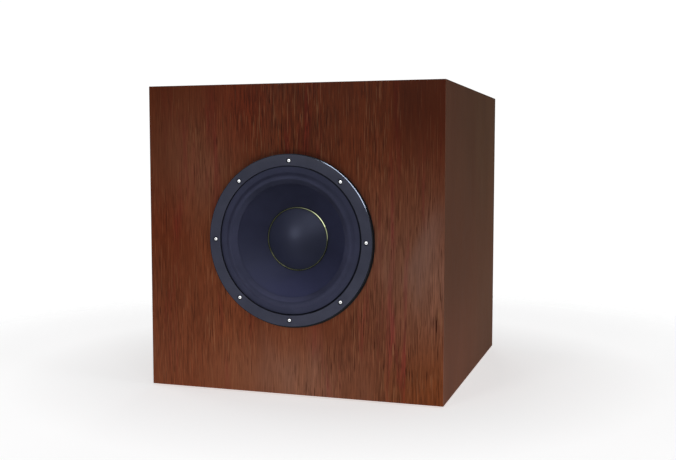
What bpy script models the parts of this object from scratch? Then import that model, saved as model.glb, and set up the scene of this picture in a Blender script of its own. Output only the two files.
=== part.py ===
"""Sealed 12 inch subwoofer cabinet, built as an assembly of separate pieces.

Frame: +Z up, the driver faces -Y, the origin is on the floor under the middle of the assembly.
Depths inside the cabinet are written as `a`, in millimetres behind the front face of the baffle.
"""

import math

import bmesh
import bpy
from mathutils import Matrix, Vector

MM = 0.001
GAP = 0.3             # clearance left between touching pieces, mm

# Cabinet
SIDE = 560.0          # outer width, height and depth of the cube
WALL = 25.0           # panel thickness
MITRE = 0.22          # half glue line, measured along the outer face
FOOT_H = 3.0
FOOT_R = 20.0
FOOT_INSET = 45.0
BOTTOM = FOOT_H + GAP
AXIS_Z = BOTTOM + SIDE / 2
FRONT_Y = -278.6      # world Y of the baffle's front face

# Driver
CUTOUT_R = 136.5
FLANGE_R = 155.0
FLANGE_IN_R = 134.0
FLANGE_H = 8.0        # stands this proud of the baffle
SCREW_R = 143.0       # radius of the screw circle
SCREW_OFF = 42.25      # the diagonal screws stand this far from the vertical, degrees
SCREW_ANGLES = (90, 90 + SCREW_OFF, 180, 270 - SCREW_OFF, 270, 270 + SCREW_OFF, 0, 90 - SCREW_OFF)
CONE_R = 106.7
CONE_EDGE_A = -2.6
CAP_R = 57.4          # dust cap and its trim ring
CAP_A = 38.6
COIL_R = 38.0

# Rear terminals
CUP_Z = BOTTOM + 140.0
POST_X = 9.5          # half of the 19 mm post spacing

for old in list(bpy.data.objects):
    bpy.data.objects.remove(old, do_unlink=True)

parts = bpy.data.collections.new("subwoofer_cabinet")
cutters = bpy.data.collections.new("cutters")
bpy.context.scene.collection.children.link(parts)
bpy.context.scene.collection.children.link(cutters)


def material(name, colour, roughness, metallic=0.0):
    mat = bpy.data.materials.new(name)
    mat.use_nodes = True
    bsdf = mat.node_tree.nodes["Principled BSDF"]
    bsdf.inputs["Base Color"].default_value = (*colour, 1.0)
    bsdf.inputs["Roughness"].default_value = roughness
    bsdf.inputs["Metallic"].default_value = metallic
    return mat


VENEER = material("mahogany_veneer", (0.13, 0.035, 0.015), 0.42)
PLY = material("birch_ply", (0.55, 0.40, 0.24), 0.7)
CAST = material("painted_casting", (0.035, 0.038, 0.050), 0.45, 0.2)
RUBBER = material("rubber", (0.030, 0.031, 0.040), 0.55)
CONE = material("coated_pulp", (0.022, 0.023, 0.036), 0.5)
BRASS = material("yellow_brass", (0.75, 0.68, 0.16), 0.3, 0.9)
ZINC = material("bright_zinc", (0.80, 0.80, 0.82), 0.25, 1.0)
STEEL = material("plated_steel", (0.45, 0.45, 0.46), 0.35, 1.0)
FERRITE = material("ferrite", (0.045, 0.045, 0.048), 0.75)
COPPER = material("copper_winding", (0.72, 0.32, 0.14), 0.35, 0.9)
ALLOY = material("coil_former_alloy", (0.70, 0.71, 0.72), 0.35, 1.0)
CLOTH = material("spider_cloth", (0.45, 0.32, 0.12), 0.9)
FOAM = material("gasket_foam", (0.02, 0.02, 0.02), 0.95)
WADDING = material("polyester_wadding", (0.72, 0.72, 0.70), 1.0)
ABS = material("black_abs", (0.02, 0.02, 0.022), 0.4)
PHENOLIC = material("phenolic_board", (0.20, 0.11, 0.05), 0.6)
RED = material("red_plastic", (0.45, 0.02, 0.02), 0.35)
BLACK = material("black_plastic", (0.015, 0.015, 0.016), 0.35)
FELT = material("rubber_foot", (0.02, 0.02, 0.02), 0.85)


def world(x, a, z):
    """A point x across, a behind the baffle's face and z up, in metres."""
    return Vector((x * MM, (FRONT_Y + a) * MM, z * MM))


def add_mesh(name, mesh, mat, cutter=False):
    obj = bpy.data.objects.new(name, mesh)
    (cutters if cutter else parts).objects.link(obj)
    if cutter:
        obj.hide_render = True
        obj.display_type = "WIRE"
    if mat is not None:
        mesh.materials.append(mat)
    return obj


def from_bmesh(name, bm, mat, cutter=False):
    mesh = bpy.data.meshes.new(name)
    bm.to_mesh(mesh)
    bm.free()
    return add_mesh(name, mesh, mat, cutter)


def box(name, lo, hi, mat, cutter=False):
    """A box from corner lo to corner hi, each (x, a, z)."""
    low, high = world(*lo), world(*hi)
    bm = bmesh.new()
    bmesh.ops.create_cube(bm, size=1.0)
    bmesh.ops.scale(bm, vec=high - low, verts=bm.verts)
    bmesh.ops.translate(bm, vec=(low + high) / 2, verts=bm.verts)
    return from_bmesh(name, bm, mat, cutter)


def turned(name, section, steps, mat, centre=(0.0, AXIS_Z), faces_back=False, cutter=False, at=0.0):
    """Turns the section, points (radius, a), about an axis along Y through centre (x, z).

    A section that starts and ends on the axis stays open there, and any other is closed.
    """
    sign = 1.0 if faces_back else -1.0
    pts = [(r, sign * (a - at)) for r, a in section]
    area = sum(p[0] * q[1] - q[0] * p[1] for p, q in zip(pts, pts[1:] + pts[:1]))
    if area > 0:
        pts.reverse()
    on_axis = [i for i, p in enumerate(pts) if p[0] < 1e-6]
    if on_axis:
        # start just after the last axis point, so that the profile runs from axis to axis
        n = len(pts)
        for i in on_axis:
            if (i + 1) % n not in on_axis:
                pts = pts[i:] + pts[:i]
                break
    mesh = bpy.data.meshes.new(name)
    edges = [(i, i + 1) for i in range(len(pts) - 1)]
    if not on_axis:
        edges.append((len(pts) - 1, 0))
    mesh.from_pydata([(r * MM, 0.0, h * MM) for r, h in pts], edges, [])
    obj = add_mesh(name, mesh, mat, cutter)
    turn = obj.modifiers.new("turn", "SCREW")
    turn.axis = "Z"
    turn.angle = 2 * math.pi
    turn.steps = steps
    turn.render_steps = steps
    turn.use_merge_vertices = True
    turn.merge_threshold = 1e-5
    turn.use_smooth_shade = True
    obj.location = world(centre[0], at, centre[1])
    obj.rotation_euler = (-math.pi / 2 if faces_back else math.pi / 2, 0.0, 0.0)
    return obj


def shell(points, thickness):
    """A closed section: the line of points, (r, a), given a thickness about it."""
    left, right = [], []
    for i, p in enumerate(points):
        before = points[i - 1] if i else p
        after = points[i + 1] if i + 1 < len(points) else p
        directions = []
        for q, s in ((before, p), (p, after)):
            d = Vector((s[0] - q[0], s[1] - q[1]))
            if d.length > 1e-9:
                directions.append(d.normalized())
        normals = [Vector((-d.y, d.x)) for d in directions]
        n = sum(normals, Vector((0.0, 0.0))).normalized()
        reach = thickness / 2 / max(0.5, n.dot(normals[0]))
        left.append((max(0.0, p[0] + n.x * reach), p[1] + n.y * reach))
        right.append((max(0.0, p[0] - n.x * reach), p[1] - n.y * reach))
    return left + right[::-1]


def cut(obj, cutter, name="cut"):
    mod = obj.modifiers.new(name, "BOOLEAN")
    mod.operation = "DIFFERENCE"
    mod.solver = "EXACT"
    mod.object = cutter
    return mod


def drill(name, places, sections, segments):
    """One cutter of round bars along Y. places are (x, z); sections are (radius, a0, a1), not touching each other's bars."""
    bm = bmesh.new()
    for x, z in places:
        for radius, a0, a1 in sections:
            made = bmesh.ops.create_cone(
                bm, cap_ends=True, segments=segments, radius1=radius * MM, radius2=radius * MM,
                depth=(a1 - a0) * MM,
                matrix=Matrix.Translation(world(x, (a0 + a1) / 2, z)) @ Matrix.Rotation(0.11, 4, "Y") @ Matrix.Rotation(math.pi / 2, 4, "X"),
            )
    return from_bmesh(name, bm, None, cutter=True)


# ---------------------------------------------------------------- cabinet panels
def panel(name, normal, mat=VENEER):
    """A slab whose outer face looks along normal, with all four edges mitred at 45 degrees."""
    n = Vector(normal)
    bm = bmesh.new()
    bmesh.ops.create_cube(bm, size=1.0)
    half = SIDE / 2 - MITRE
    for v in bm.verts:
        outer = v.co.z > 0
        reach = half if outer else half - WALL
        v.co = Vector((math.copysign(reach, v.co.x), math.copysign(reach, v.co.y), SIDE / 2 if outer else SIDE / 2 - WALL)) * MM
    turn = Vector((0, 0, 1)).rotation_difference(n).to_matrix().to_4x4()
    bmesh.ops.transform(bm, matrix=Matrix.Translation(world(0, SIDE / 2, AXIS_Z)) @ turn, verts=bm.verts)
    bmesh.ops.recalc_face_normals(bm, faces=bm.faces)
    return from_bmesh(name, bm, mat)


front_baffle = panel("front_baffle", (0, -1, 0))
rear_panel = panel("rear_panel", (0, 1, 0))
panel("left_side_panel", (-1, 0, 0))
panel("right_side_panel", (1, 0, 0))
panel("top_panel", (0, 0, 1))
panel("bottom_panel", (0, 0, -1))

hole_places = [
    (SCREW_R * math.cos(math.radians(t)), AXIS_Z + SCREW_R * math.sin(math.radians(t))) for t in SCREW_ANGLES
]
cut(front_baffle, turned("cutter_driver", [(0, -20), (CUTOUT_R, -20), (CUTOUT_R, 40), (0, 40)], 48, None, cutter=True), "driver_cutout")
screw_holes = drill("cutter_screw_holes", hole_places, [(2.4, -12.0, 22.0)], 12)
cut(front_baffle, screw_holes, "screw_holes")

# Brace: a plywood frame across the middle of the box, with four windows
BRACE_A = (262.0, 280.0)
inner = SIDE / 2 - WALL - GAP
brace = box("window_brace", (-inner, BRACE_A[0], AXIS_Z - inner), (inner, BRACE_A[1], AXIS_Z + inner), PLY)
bm = bmesh.new()
for sx in (-1, 1):
    for sz in (-1, 1):
        made = bmesh.ops.create_cube(bm, size=1.0)["verts"]
        bmesh.ops.scale(bm, vec=Vector((168, 60, 168)) * MM, verts=made)
        bmesh.ops.translate(bm, vec=world(sx * 112, sum(BRACE_A) / 2, AXIS_Z + sz * 112), verts=made)
windows = from_bmesh("cutter_brace_windows", bm, None, cutter=True)
cut(brace, windows, "windows")

# Feet: flat rubber pads stuck under the bottom panel
for fx, fy, where in ((-1, 0, "front_left"), (1, 0, "front_right"), (-1, 1, "rear_left"), (1, 1, "rear_right")):
    bm = bmesh.new()
    at = world(fx * (SIDE / 2 - FOOT_INSET), FOOT_INSET if not fy else SIDE - FOOT_INSET, FOOT_H / 2)
    bmesh.ops.create_cone(bm, cap_ends=True, segments=24, radius1=(FOOT_R - 0.6) * MM, radius2=FOOT_R * MM,
                          depth=FOOT_H * MM, matrix=Matrix.Translation(at))
    from_bmesh(f"foot_{where}", bm, FELT)

# Wadding: soft polyester pads on the walls behind the brace
box("wadding_rear", (-200, 494.0, BOTTOM + 220), (200, 534.7, BOTTOM + 500), WADDING)
box("wadding_left", (-254.7, 300.0, BOTTOM + 60), (-214.7, 480.0, BOTTOM + 500), WADDING)
box("wadding_right", (214.7, 300.0, BOTTOM + 60), (254.7, 480.0, BOTTOM + 500), WADDING)

# ---------------------------------------------------------------- driver: fixed pieces
gasket = turned("driver_gasket", [(137.5, -1.7), (153.5, -1.7), (153.5, -GAP), (137.5, -GAP)], 36, FOAM)
cut(gasket, screw_holes, "screw_holes")

basket = turned(
    "driver_basket",
    [
        (FLANGE_IN_R, -FLANGE_H), (FLANGE_R - 1.4, -FLANGE_H), (FLANGE_R, -FLANGE_H + 1.4), (FLANGE_R, -2.0),
        (135.5, -2.0), (135.5, 13.0), (91.5, 66.0), (88.5, 72.0), (84.0, 94.7), (44.0, 94.7), (44.0, 90.0),
        (79.0, 90.0), (80.5, 71.5), (76.0, 71.5), (76.0, 68.0), (86.5, 68.0), (87.0, 63.5), (130.0, 11.5),
        (130.0, 1.0), (121.0, 1.0), (121.0, -2.9), (FLANGE_IN_R, -2.9),
    ],
    40, CAST,
)
cut(basket, screw_holes, "screw_holes")
cut(basket, drill("cutter_counterbores", hole_places, [(4.7, -12.0, -5.0)], 16), "counterbores")

# Twelve tapered windows between the basket's spokes, each under 50 mm wide
bm = bmesh.new()
slope = Vector((91.5 - 135.5, 66.0 - 13.0)).normalized()
for i in range(12):
    angle = math.radians(-90 + 30 * i)
    radial = Vector((math.cos(angle), 0, math.sin(angle)))
    along = (radial * slope.x + Vector((0, 1, 0)) * slope.y).normalized()      # down the wall, towards the motor
    across = Vector((-math.sin(angle), 0, math.cos(angle)))
    through = along.cross(across).normalized()
    made = bmesh.ops.create_cube(bm, size=2.0)["verts"]
    mid = world(0, 38.0, AXIS_Z) + radial * 111.6 * MM
    for v in made:
        width = 16.0 if v.co.x > 0 else 25.0
        v.co = mid + (along * v.co.x * 25.0 + across * v.co.y * width + through * v.co.z * 14.0) * MM
bmesh.ops.recalc_face_normals(bm, faces=bm.faces)
cut(basket, from_bmesh("cutter_basket_windows", bm, None, cutter=True), "windows")

turned("top_plate", [(41.6, 95.0), (80.0, 95.0), (80.0, 107.0), (41.6, 107.0)], 32, STEEL)
turned("magnet_front", [(52.0, 107.3), (90.0, 107.3), (90.0, 125.3), (52.0, 125.3)], 32, FERRITE)
turned("magnet_rear", [(52.0, 125.6), (90.0, 125.6), (90.0, 143.6), (52.0, 143.6)], 32, FERRITE)
turned("pole_piece_yoke", [(14.0, 93.0), (36.8, 93.0), (36.8, 143.9), (87.0, 143.9), (87.0, 154.0), (85.0, 156.0), (18.0, 156.0), (14.0, 150.0)], 32, STEEL)

box("driver_terminal_block", (-18, 84.0, AXIS_Z - 97.0), (18, 88.0, AXIS_Z - 86.5), PHENOLIC)
for side, sx in (("pos", 1), ("neg", -1)):
    box(f"driver_tab_{side}", (sx * 10 - 3.15, 85.6, AXIS_Z - 108.0), (sx * 10 + 3.15, 86.4, AXIS_Z - 97.3), ZINC)

# ---------------------------------------------------------------- driver: moving pieces
FALL = (CAP_A - CONE_EDGE_A) / (CONE_R - CAP_R)


def cone_a(r):
    """Depth of the cone's front face at radius r."""
    return CONE_EDGE_A + FALL * (CONE_R - r)


lean = math.hypot(1.0, FALL)
into = Vector((FALL, 1.0)) / lean          # from the cone's front face into its wall, as (r, a)


def behind_face(r, depth):
    return (r + into.x * depth, cone_a(r) + into.y * depth)


turned("cone", shell([behind_face(r, 0.6) for r in (CONE_R, 73.0, 39.0)], 1.2), 48, CONE)

dome_r, dome_rise = 56.6, 21.0
dome_R = (dome_r ** 2 + dome_rise ** 2) / (2 * dome_rise)
dome_rim_a = 38.2
dome = []
for i in range(6):
    t = math.asin(dome_r / dome_R) * i / 5
    dome.append((dome_R * math.sin(t), dome_rim_a - dome_rise + dome_R * (1 - math.cos(t))))
outer = [(r, a) for r, a in shell(dome, 1.0)]
turned("dust_cap", [(0.0 if r < 0.6 else r, a) for r, a in outer], 32, CONE)

ring_c = (57.7, 36.5)
turned("dust_cap_trim_ring", [(ring_c[0] + 1.1 * math.cos(k * math.pi / 3), ring_c[1] + 1.1 * math.sin(k * math.pi / 3)) for k in range(6)], 40, BRASS)

turned("voice_coil_former", [(COIL_R, 50.0), (COIL_R + 0.6, 50.0), (COIL_R + 0.6, 118.0), (COIL_R, 118.0)], 32, ALLOY)
turned("voice_coil", [(COIL_R + 0.9, 88.0), (COIL_R + 2.6, 88.0), (COIL_R + 2.6, 114.0), (COIL_R + 0.9, 114.0)], 32, COPPER)

# Surround: outer flange on the basket's shelf, one half roll, and a lip on the cone's edge
ROLL_IN, ROLL_OUT, ROLL_H, ROLL_A = 107.2, 122.8, 5.5, -3.8
line = [(133.4, ROLL_A), (124.6, ROLL_A)]
for i in range(7):
    t = math.pi * i / 6
    line.append(((ROLL_IN + ROLL_OUT) / 2 + (ROLL_OUT - ROLL_IN) / 2 * math.cos(t), ROLL_A - ROLL_H * math.sin(t)))
line.append((104.0, cone_a(104.0) - 1.35))
line.append((102.0, cone_a(102.0) - 1.35))
turned("surround", shell(line, 1.2), 40, RUBBER)

# Spider: flat collar on the former, corrugations, flat flange on the basket's inner shelf
line = [(39.8, 67.3), (43.6, 67.3)]
for i in range(7):
    line.append((46.0 + 4.2 * i, 67.3 + (2.2 if i % 2 else -2.2)))
line += [(73.6, 67.3), (85.6, 67.3)]
turned("spider", shell(line, 0.8), 28, CLOTH)


# ---------------------------------------------------------------- wires
def smooth(points, step):
    """Evenly spaced points on a Catmull-Rom curve through points."""
    pts = [Vector(p) for p in points]
    pts = [pts[0] * 2 - pts[1]] + pts + [pts[-1] * 2 - pts[-2]]
    dense = []
    for i in range(1, len(pts) - 2):
        p0, p1, p2, p3 = pts[i - 1:i + 3]
        for k in range(24):
            t = k / 24
            dense.append(0.5 * (2 * p1 + (p2 - p0) * t + (2 * p0 - 5 * p1 + 4 * p2 - p3) * t * t + (3 * p1 - p0 - 3 * p2 + p3) * t ** 3))
    dense.append(pts[-2])
    total = sum((b - a).length for a, b in zip(dense, dense[1:]))
    count = max(3, round(total / step))
    out, run, k = [dense[0]], 0.0, 1
    for a, b in zip(dense, dense[1:]):
        seg = (b - a).length
        while k < count and run + seg >= total * k / count - 1e-9:
            out.append(a.lerp(b, (total * k / count - run) / seg if seg else 0.0))
            k += 1
        run += seg
    out.append(dense[-1])
    return out


def wire(name, points, radius, step, mat):
    """A round wire through points given as (x, a, z)."""
    route = smooth([world(*p) for p in points], step * MM)
    curve = bpy.data.curves.new(name, "CURVE")
    curve.dimensions = "3D"
    curve.bevel_depth = radius * MM
    curve.bevel_resolution = 1
    curve.use_fill_caps = True
    spline = curve.splines.new("POLY")
    spline.points.add(len(route) - 1)
    for p, q in zip(spline.points, route):
        p.co = (*q, 1.0)
    curve.materials.append(mat)
    obj = bpy.data.objects.new(name, curve)
    parts.objects.link(obj)
    return obj


for side, sx in (("pos", 1), ("neg", -1)):
    # (radius below the axis, a): from the terminal block, out round the spider and in through a window to the cone
    path = [(92.0, 83.4), (95.5, 76.0), (101.5, 65.0), (102.5, 55.0), (96.0, 48.0), (85.0, 46.5), (75.0, 46.5), (67.0, 43.0), (62.5, 37.6)]
    wire(f"tinsel_lead_{side}", [(sx * (12.0 - 0.2 * k), a, AXIS_Z - r) for k, (r, a) in enumerate(path)], 0.8, 5.0, COPPER)

for side, sx, mat in (("pos", 1, RED), ("neg", -1, BLACK)):
    lift = 4.0 * sx
    wire(f"speaker_wire_{side}", [
        (sx * 10, 86.0, AXIS_Z - 108.4), (sx * 10, 87.0, AXIS_Z - 121.0), (14 + 6 * sx, 112.0, AXIS_Z - 148.0),
        (50 + 8 * sx, 170.0, AXIS_Z - 170.0 + lift), (78 + 8 * sx, 230.0, AXIS_Z - 160.0 + lift), (88 + 8 * sx, 271.0, AXIS_Z - 150.0 + lift),
        (86 + 8 * sx, 330.0, AXIS_Z - 160.0 + lift), (62 + 8 * sx, 400.0, AXIS_Z - 170.0 + lift), (26 + 8 * sx, 458.0, CUP_Z - 10.0 + lift),
        (sx * POST_X, 492.0, CUP_Z - 1.0), (sx * POST_X, 511.6, CUP_Z),
    ], 1.8, 22.0, mat)

# ---------------------------------------------------------------- driver screws
for number, (x, z) in enumerate(hole_places, 1):
    turned(
        f"driver_screw_{number}",
        [(0.0, -8.3), (2.6, -7.9), (3.5, -6.5), (3.5, -5.3), (2.0, -5.3), (2.0, 17.0), (0.0, 20.0)],
        12, ZINC, centre=(x, z),
    )


# ---------------------------------------------------------------- rear terminal cup
def rounded_outline(name, width, height, radius, a0, a1, mat, cutter=False):
    """A rounded rectangle across X and Z, filled from depth a0 to a1, turned into a closed mesh."""
    curve = bpy.data.curves.new(name + "_outline", "CURVE")
    curve.dimensions = "2D"
    curve.fill_mode = "BOTH"
    curve.extrude = (a1 - a0) / 2 * MM
    spline = curve.splines.new("POLY")
    pts = []
    for cx, cy, start in ((1, 1, 0), (-1, 1, 90), (-1, -1, 180), (1, -1, 270)):
        for k in range(5):
            t = math.radians(start + 22.5 * k)
            pts.append((cx * (width / 2 - radius) + radius * math.cos(t), cy * (height / 2 - radius) + radius * math.sin(t)))
    spline.points.add(len(pts) - 1)
    for p, (u, v) in zip(spline.points, pts):
        p.co = (u * MM, v * MM, 0.0, 1.0)
    spline.use_cyclic_u = True
    guide = bpy.data.objects.new(name + "_outline", curve)
    cutters.objects.link(guide)
    guide.rotation_euler = (math.pi / 2, 0.0, 0.0)
    guide.location = world(0, (a0 + a1) / 2, CUP_Z)
    bpy.context.view_layer.update()
    mesh = bpy.data.meshes.new_from_object(guide.evaluated_get(bpy.context.evaluated_depsgraph_get()))
    matrix = guide.matrix_world.copy()
    bpy.data.objects.remove(guide, do_unlink=True)
    bm = bmesh.new()
    bm.from_mesh(mesh)
    bmesh.ops.remove_doubles(bm, verts=bm.verts, dist=1e-6)
    bmesh.ops.recalc_face_normals(bm, faces=bm.faces)
    bm.to_mesh(mesh)
    bm.free()
    mesh.name = name
    mesh.materials.clear()
    obj = add_mesh(name, mesh, mat, cutter)
    obj.matrix_world = matrix
    return obj


REAR = SIDE
cup_screws = [(sx * 57.0, CUP_Z + sz * 42.0) for sx in (-1, 1) for sz in (-1, 1)]
cut(rear_panel, rounded_outline("cutter_cup_hole", 108, 78, 7, REAR - 40, REAR + 10, None, cutter=True), "cup_hole")
cup_pilots = drill("cutter_cup_screws", cup_screws, [(2.0, REAR - 18.0, REAR + 12.0)], 12)
cut(rear_panel, cup_pilots, "screw_holes")

cup_gasket = rounded_outline("terminal_cup_gasket", 126, 96, 7, REAR + GAP, REAR + 1.3, FOAM)
cut(cup_gasket, rounded_outline("cutter_gasket_hole", 108, 78, 7, REAR - 5, REAR + 8, None, cutter=True), "opening")
cut(cup_gasket, cup_pilots, "screw_holes")

cup = rounded_outline("terminal_cup", 130, 100, 8, REAR + 1.6, REAR + 4.6, ABS)
body = rounded_outline("cutter_cup_body", 106, 76, 6, REAR - 31.4, REAR + 3.0, None, cutter=True)
join = cup.modifiers.new("cup_body", "BOOLEAN")
join.operation = "UNION"
join.solver = "EXACT"
join.object = body
cut(cup, rounded_outline("cutter_cup_recess", 100, 70, 4, REAR - 28.4, REAR + 12, None, cutter=True), "recess")
cut(cup, drill("cutter_post_holes", [(-POST_X, CUP_Z), (POST_X, CUP_Z)], [(3.6, REAR - 40.0, REAR - 20.0)], 20), "post_holes")
cut(cup, cup_pilots, "screw_holes")

for number, (x, z) in enumerate(cup_screws, 1):
    turned(
        f"terminal_cup_screw_{number}",
        [(0.0, REAR + 7.1), (1.8, REAR + 6.9), (3.2, REAR + 5.9), (3.2, REAR + 4.9), (1.6, REAR + 4.9), (1.6, REAR - 13.0), (0.0, REAR - 15.5)],
        14, BLACK, centre=(x, z), faces_back=True, at=REAR,
    )

FLOOR = REAR - 28.4
for side, sx, mat in (("pos", 1, RED), ("neg", -1, BLACK)):
    centre = (sx * POST_X, CUP_Z)
    turned(
        f"binding_post_{side}",
        [(0.0, REAR - 48.0), (3.2, REAR - 48.0), (3.2, FLOOR + GAP), (6.0, FLOOR + GAP), (6.0, FLOOR + 4.9), (3.2, FLOOR + 4.9),
         (3.2, FLOOR + 22.4), (2.05, FLOOR + 22.4), (2.05, FLOOR + 6.0), (0.0, FLOOR + 6.0)],
        20, BRASS, centre=centre, faces_back=True, at=REAR,
    )
    turned(f"binding_post_washer_{side}", [(3.6, FLOOR + 5.2), (6.0, FLOOR + 5.2), (6.0, FLOOR + 6.4), (3.6, FLOOR + 6.4)], 20, BRASS, centre=centre, faces_back=True, at=FLOOR + 5.2)
    turned(
        f"binding_post_cap_{side}",
        [(3.6, FLOOR + 6.7), (6.4, FLOOR + 6.7), (6.8, FLOOR + 7.2), (6.8, FLOOR + 24.6), (6.0, FLOOR + 25.7), (3.6, FLOOR + 25.7)],
        20, mat, centre=centre, faces_back=True, at=FLOOR + 6.7,
    )
    bm = bmesh.new()
    bmesh.ops.create_cone(bm, cap_ends=True, segments=6, radius1=5.77 * MM, radius2=5.77 * MM, depth=4.0 * MM,
                          matrix=Matrix.Translation(world(centre[0], FLOOR - 3.0 - GAP - 2.0, centre[1])) @ Matrix.Rotation(math.pi / 2, 4, "X"))
    nut = from_bmesh(f"binding_post_nut_{side}", bm, ZINC)
    cut(nut, drill(f"cutter_nut_{side}", [centre], [(3.5, REAR - 50.0, REAR - 24.0)], 20), "bore")

bpy.context.view_layer.update()
for obj in parts.objects:
    if obj.type == "MESH" and obj.data.polygons:
        obj.data.shade_smooth()
        obj.data.set_sharp_from_angle(angle=math.radians(35))
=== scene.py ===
"""Looks for the sealed subwoofer cabinet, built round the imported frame.

Lengths in the helpers are millimetres. A depth `a` is measured behind the baffle's front face.
"""

import math

import bmesh
import bpy
import numpy as np
from mathutils import Matrix, Vector, noise

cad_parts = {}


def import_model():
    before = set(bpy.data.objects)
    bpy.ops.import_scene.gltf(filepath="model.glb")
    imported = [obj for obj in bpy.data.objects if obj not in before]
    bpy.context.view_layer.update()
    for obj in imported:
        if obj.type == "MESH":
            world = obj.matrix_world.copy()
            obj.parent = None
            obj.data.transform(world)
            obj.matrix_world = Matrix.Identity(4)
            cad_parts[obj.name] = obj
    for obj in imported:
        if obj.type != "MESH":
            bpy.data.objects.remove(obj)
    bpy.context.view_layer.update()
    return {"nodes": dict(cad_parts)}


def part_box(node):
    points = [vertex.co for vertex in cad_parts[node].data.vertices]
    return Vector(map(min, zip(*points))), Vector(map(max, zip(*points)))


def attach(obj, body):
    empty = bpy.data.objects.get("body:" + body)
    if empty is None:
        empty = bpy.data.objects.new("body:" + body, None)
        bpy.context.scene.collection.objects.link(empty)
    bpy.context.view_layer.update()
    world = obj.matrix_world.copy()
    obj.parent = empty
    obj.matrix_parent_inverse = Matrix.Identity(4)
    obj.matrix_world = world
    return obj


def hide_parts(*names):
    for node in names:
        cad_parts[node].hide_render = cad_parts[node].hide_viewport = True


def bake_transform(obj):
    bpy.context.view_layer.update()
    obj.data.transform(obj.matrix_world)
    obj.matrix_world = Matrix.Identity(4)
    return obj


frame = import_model()
nodes = frame["nodes"]
MM = 0.001

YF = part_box("front_baffle")[0].y
BASKET_LO, BASKET_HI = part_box("driver_basket")
AXIS_Z = (BASKET_LO.z + BASKET_HI.z) / 2 / MM
CUP_LO, CUP_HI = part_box("terminal_cup")
CUP_Z = (CUP_LO.z + CUP_HI.z) / 2 / MM
PANEL_LO, PANEL_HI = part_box("left_side_panel")
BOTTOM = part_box("bottom_panel")[0].z / MM
SIDE = (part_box("top_panel")[1].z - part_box("bottom_panel")[0].z) / MM
WALL = (PANEL_HI.x - PANEL_LO.x) / MM
REAR = SIDE


def world(x, a, z):
    return Vector((x * MM, YF + a * MM, z * MM))


# ------------------------------------------------------------------ materials
def shader(name, roughness=0.5, metallic=0.0, specular=0.5):
    mat = bpy.data.materials.new(name)
    mat.use_nodes = True
    bsdf = mat.node_tree.nodes["Principled BSDF"]
    bsdf.inputs["Roughness"].default_value = roughness
    bsdf.inputs["Metallic"].default_value = metallic
    bsdf.inputs["Specular IOR Level"].default_value = specular
    return mat, mat.node_tree, bsdf


def node(tree, kind, **values):
    made = tree.nodes.new(kind)
    for key, value in values.items():
        if hasattr(made, key):
            setattr(made, key, value)
        else:
            made.inputs[key.replace("_", " ")].default_value = value
    return made


def stretched(tree, scale, offset=(0.0, 0.0, 0.0), rotation=(0.0, 0.0, 0.0)):
    """The piece's own coordinates, scaled by a different number each way."""
    coords = tree.nodes.new("ShaderNodeTexCoord")
    mapping = tree.nodes.new("ShaderNodeMapping")
    mapping.inputs["Scale"].default_value = scale
    mapping.inputs["Location"].default_value = offset
    mapping.inputs["Rotation"].default_value = rotation
    tree.links.new(coords.outputs["Object"], mapping.inputs["Vector"])
    return mapping.outputs["Vector"]


def noise_of(tree, vector, scale=1.0, detail=4.0, rough=0.5, distortion=0.0):
    made = tree.nodes.new("ShaderNodeTexNoise")
    made.inputs["Scale"].default_value = scale
    made.inputs["Detail"].default_value = detail
    made.inputs["Roughness"].default_value = rough
    made.inputs["Distortion"].default_value = distortion
    tree.links.new(vector, made.inputs["Vector"])
    return made.outputs["Fac"]


def ramp(tree, value, stops, interpolation="LINEAR"):
    made = tree.nodes.new("ShaderNodeValToRGB")
    made.color_ramp.interpolation = interpolation
    elements = made.color_ramp.elements
    while len(elements) < len(stops):
        elements.new(0.5)
    for element, (place, colour) in zip(elements, stops):
        element.position = place
        element.color = (*colour, 1.0) if len(colour) == 3 else colour
    tree.links.new(value, made.inputs["Fac"])
    return made.outputs["Color"]


def grey(tree, value, low, high, at=(0.3, 0.7)):
    made = tree.nodes.new("ShaderNodeMapRange")
    made.inputs["From Min"].default_value = at[0]
    made.inputs["From Max"].default_value = at[1]
    made.inputs["To Min"].default_value = low
    made.inputs["To Max"].default_value = high
    tree.links.new(value, made.inputs["Value"])
    return made.outputs["Result"]


def mixed(tree, fac, first, second, mode="MIX"):
    made = tree.nodes.new("ShaderNodeMix")
    made.data_type = "RGBA"
    made.blend_type = mode
    for value, key in ((fac, "Factor"), (first, "A"), (second, "B")):
        sockets = [s for s in made.inputs if s.name == key and (s.type == "VALUE" if key == "Factor" else s.type == "RGBA")]
        if isinstance(value, (int, float)):
            sockets[0].default_value = value
        elif isinstance(value, tuple):
            sockets[0].default_value = (*value, 1.0)
        else:
            tree.links.new(value, sockets[0])
    return next(s for s in made.outputs if s.type == "RGBA")


def combine(tree, first, second, operation):
    made = tree.nodes.new("ShaderNodeMath")
    made.operation = operation
    for value, socket in ((first, made.inputs[0]), (second, made.inputs[1])):
        if isinstance(value, (int, float)):
            socket.default_value = value
        else:
            tree.links.new(value, socket)
    return made.outputs["Value"]


def bump(tree, bsdf, height, strength, distance):
    made = tree.nodes.new("ShaderNodeBump")
    made.inputs["Strength"].default_value = strength
    made.inputs["Distance"].default_value = distance
    tree.links.new(height, made.inputs["Height"])
    tree.links.new(made.outputs["Normal"], bsdf.inputs["Normal"])


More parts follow.
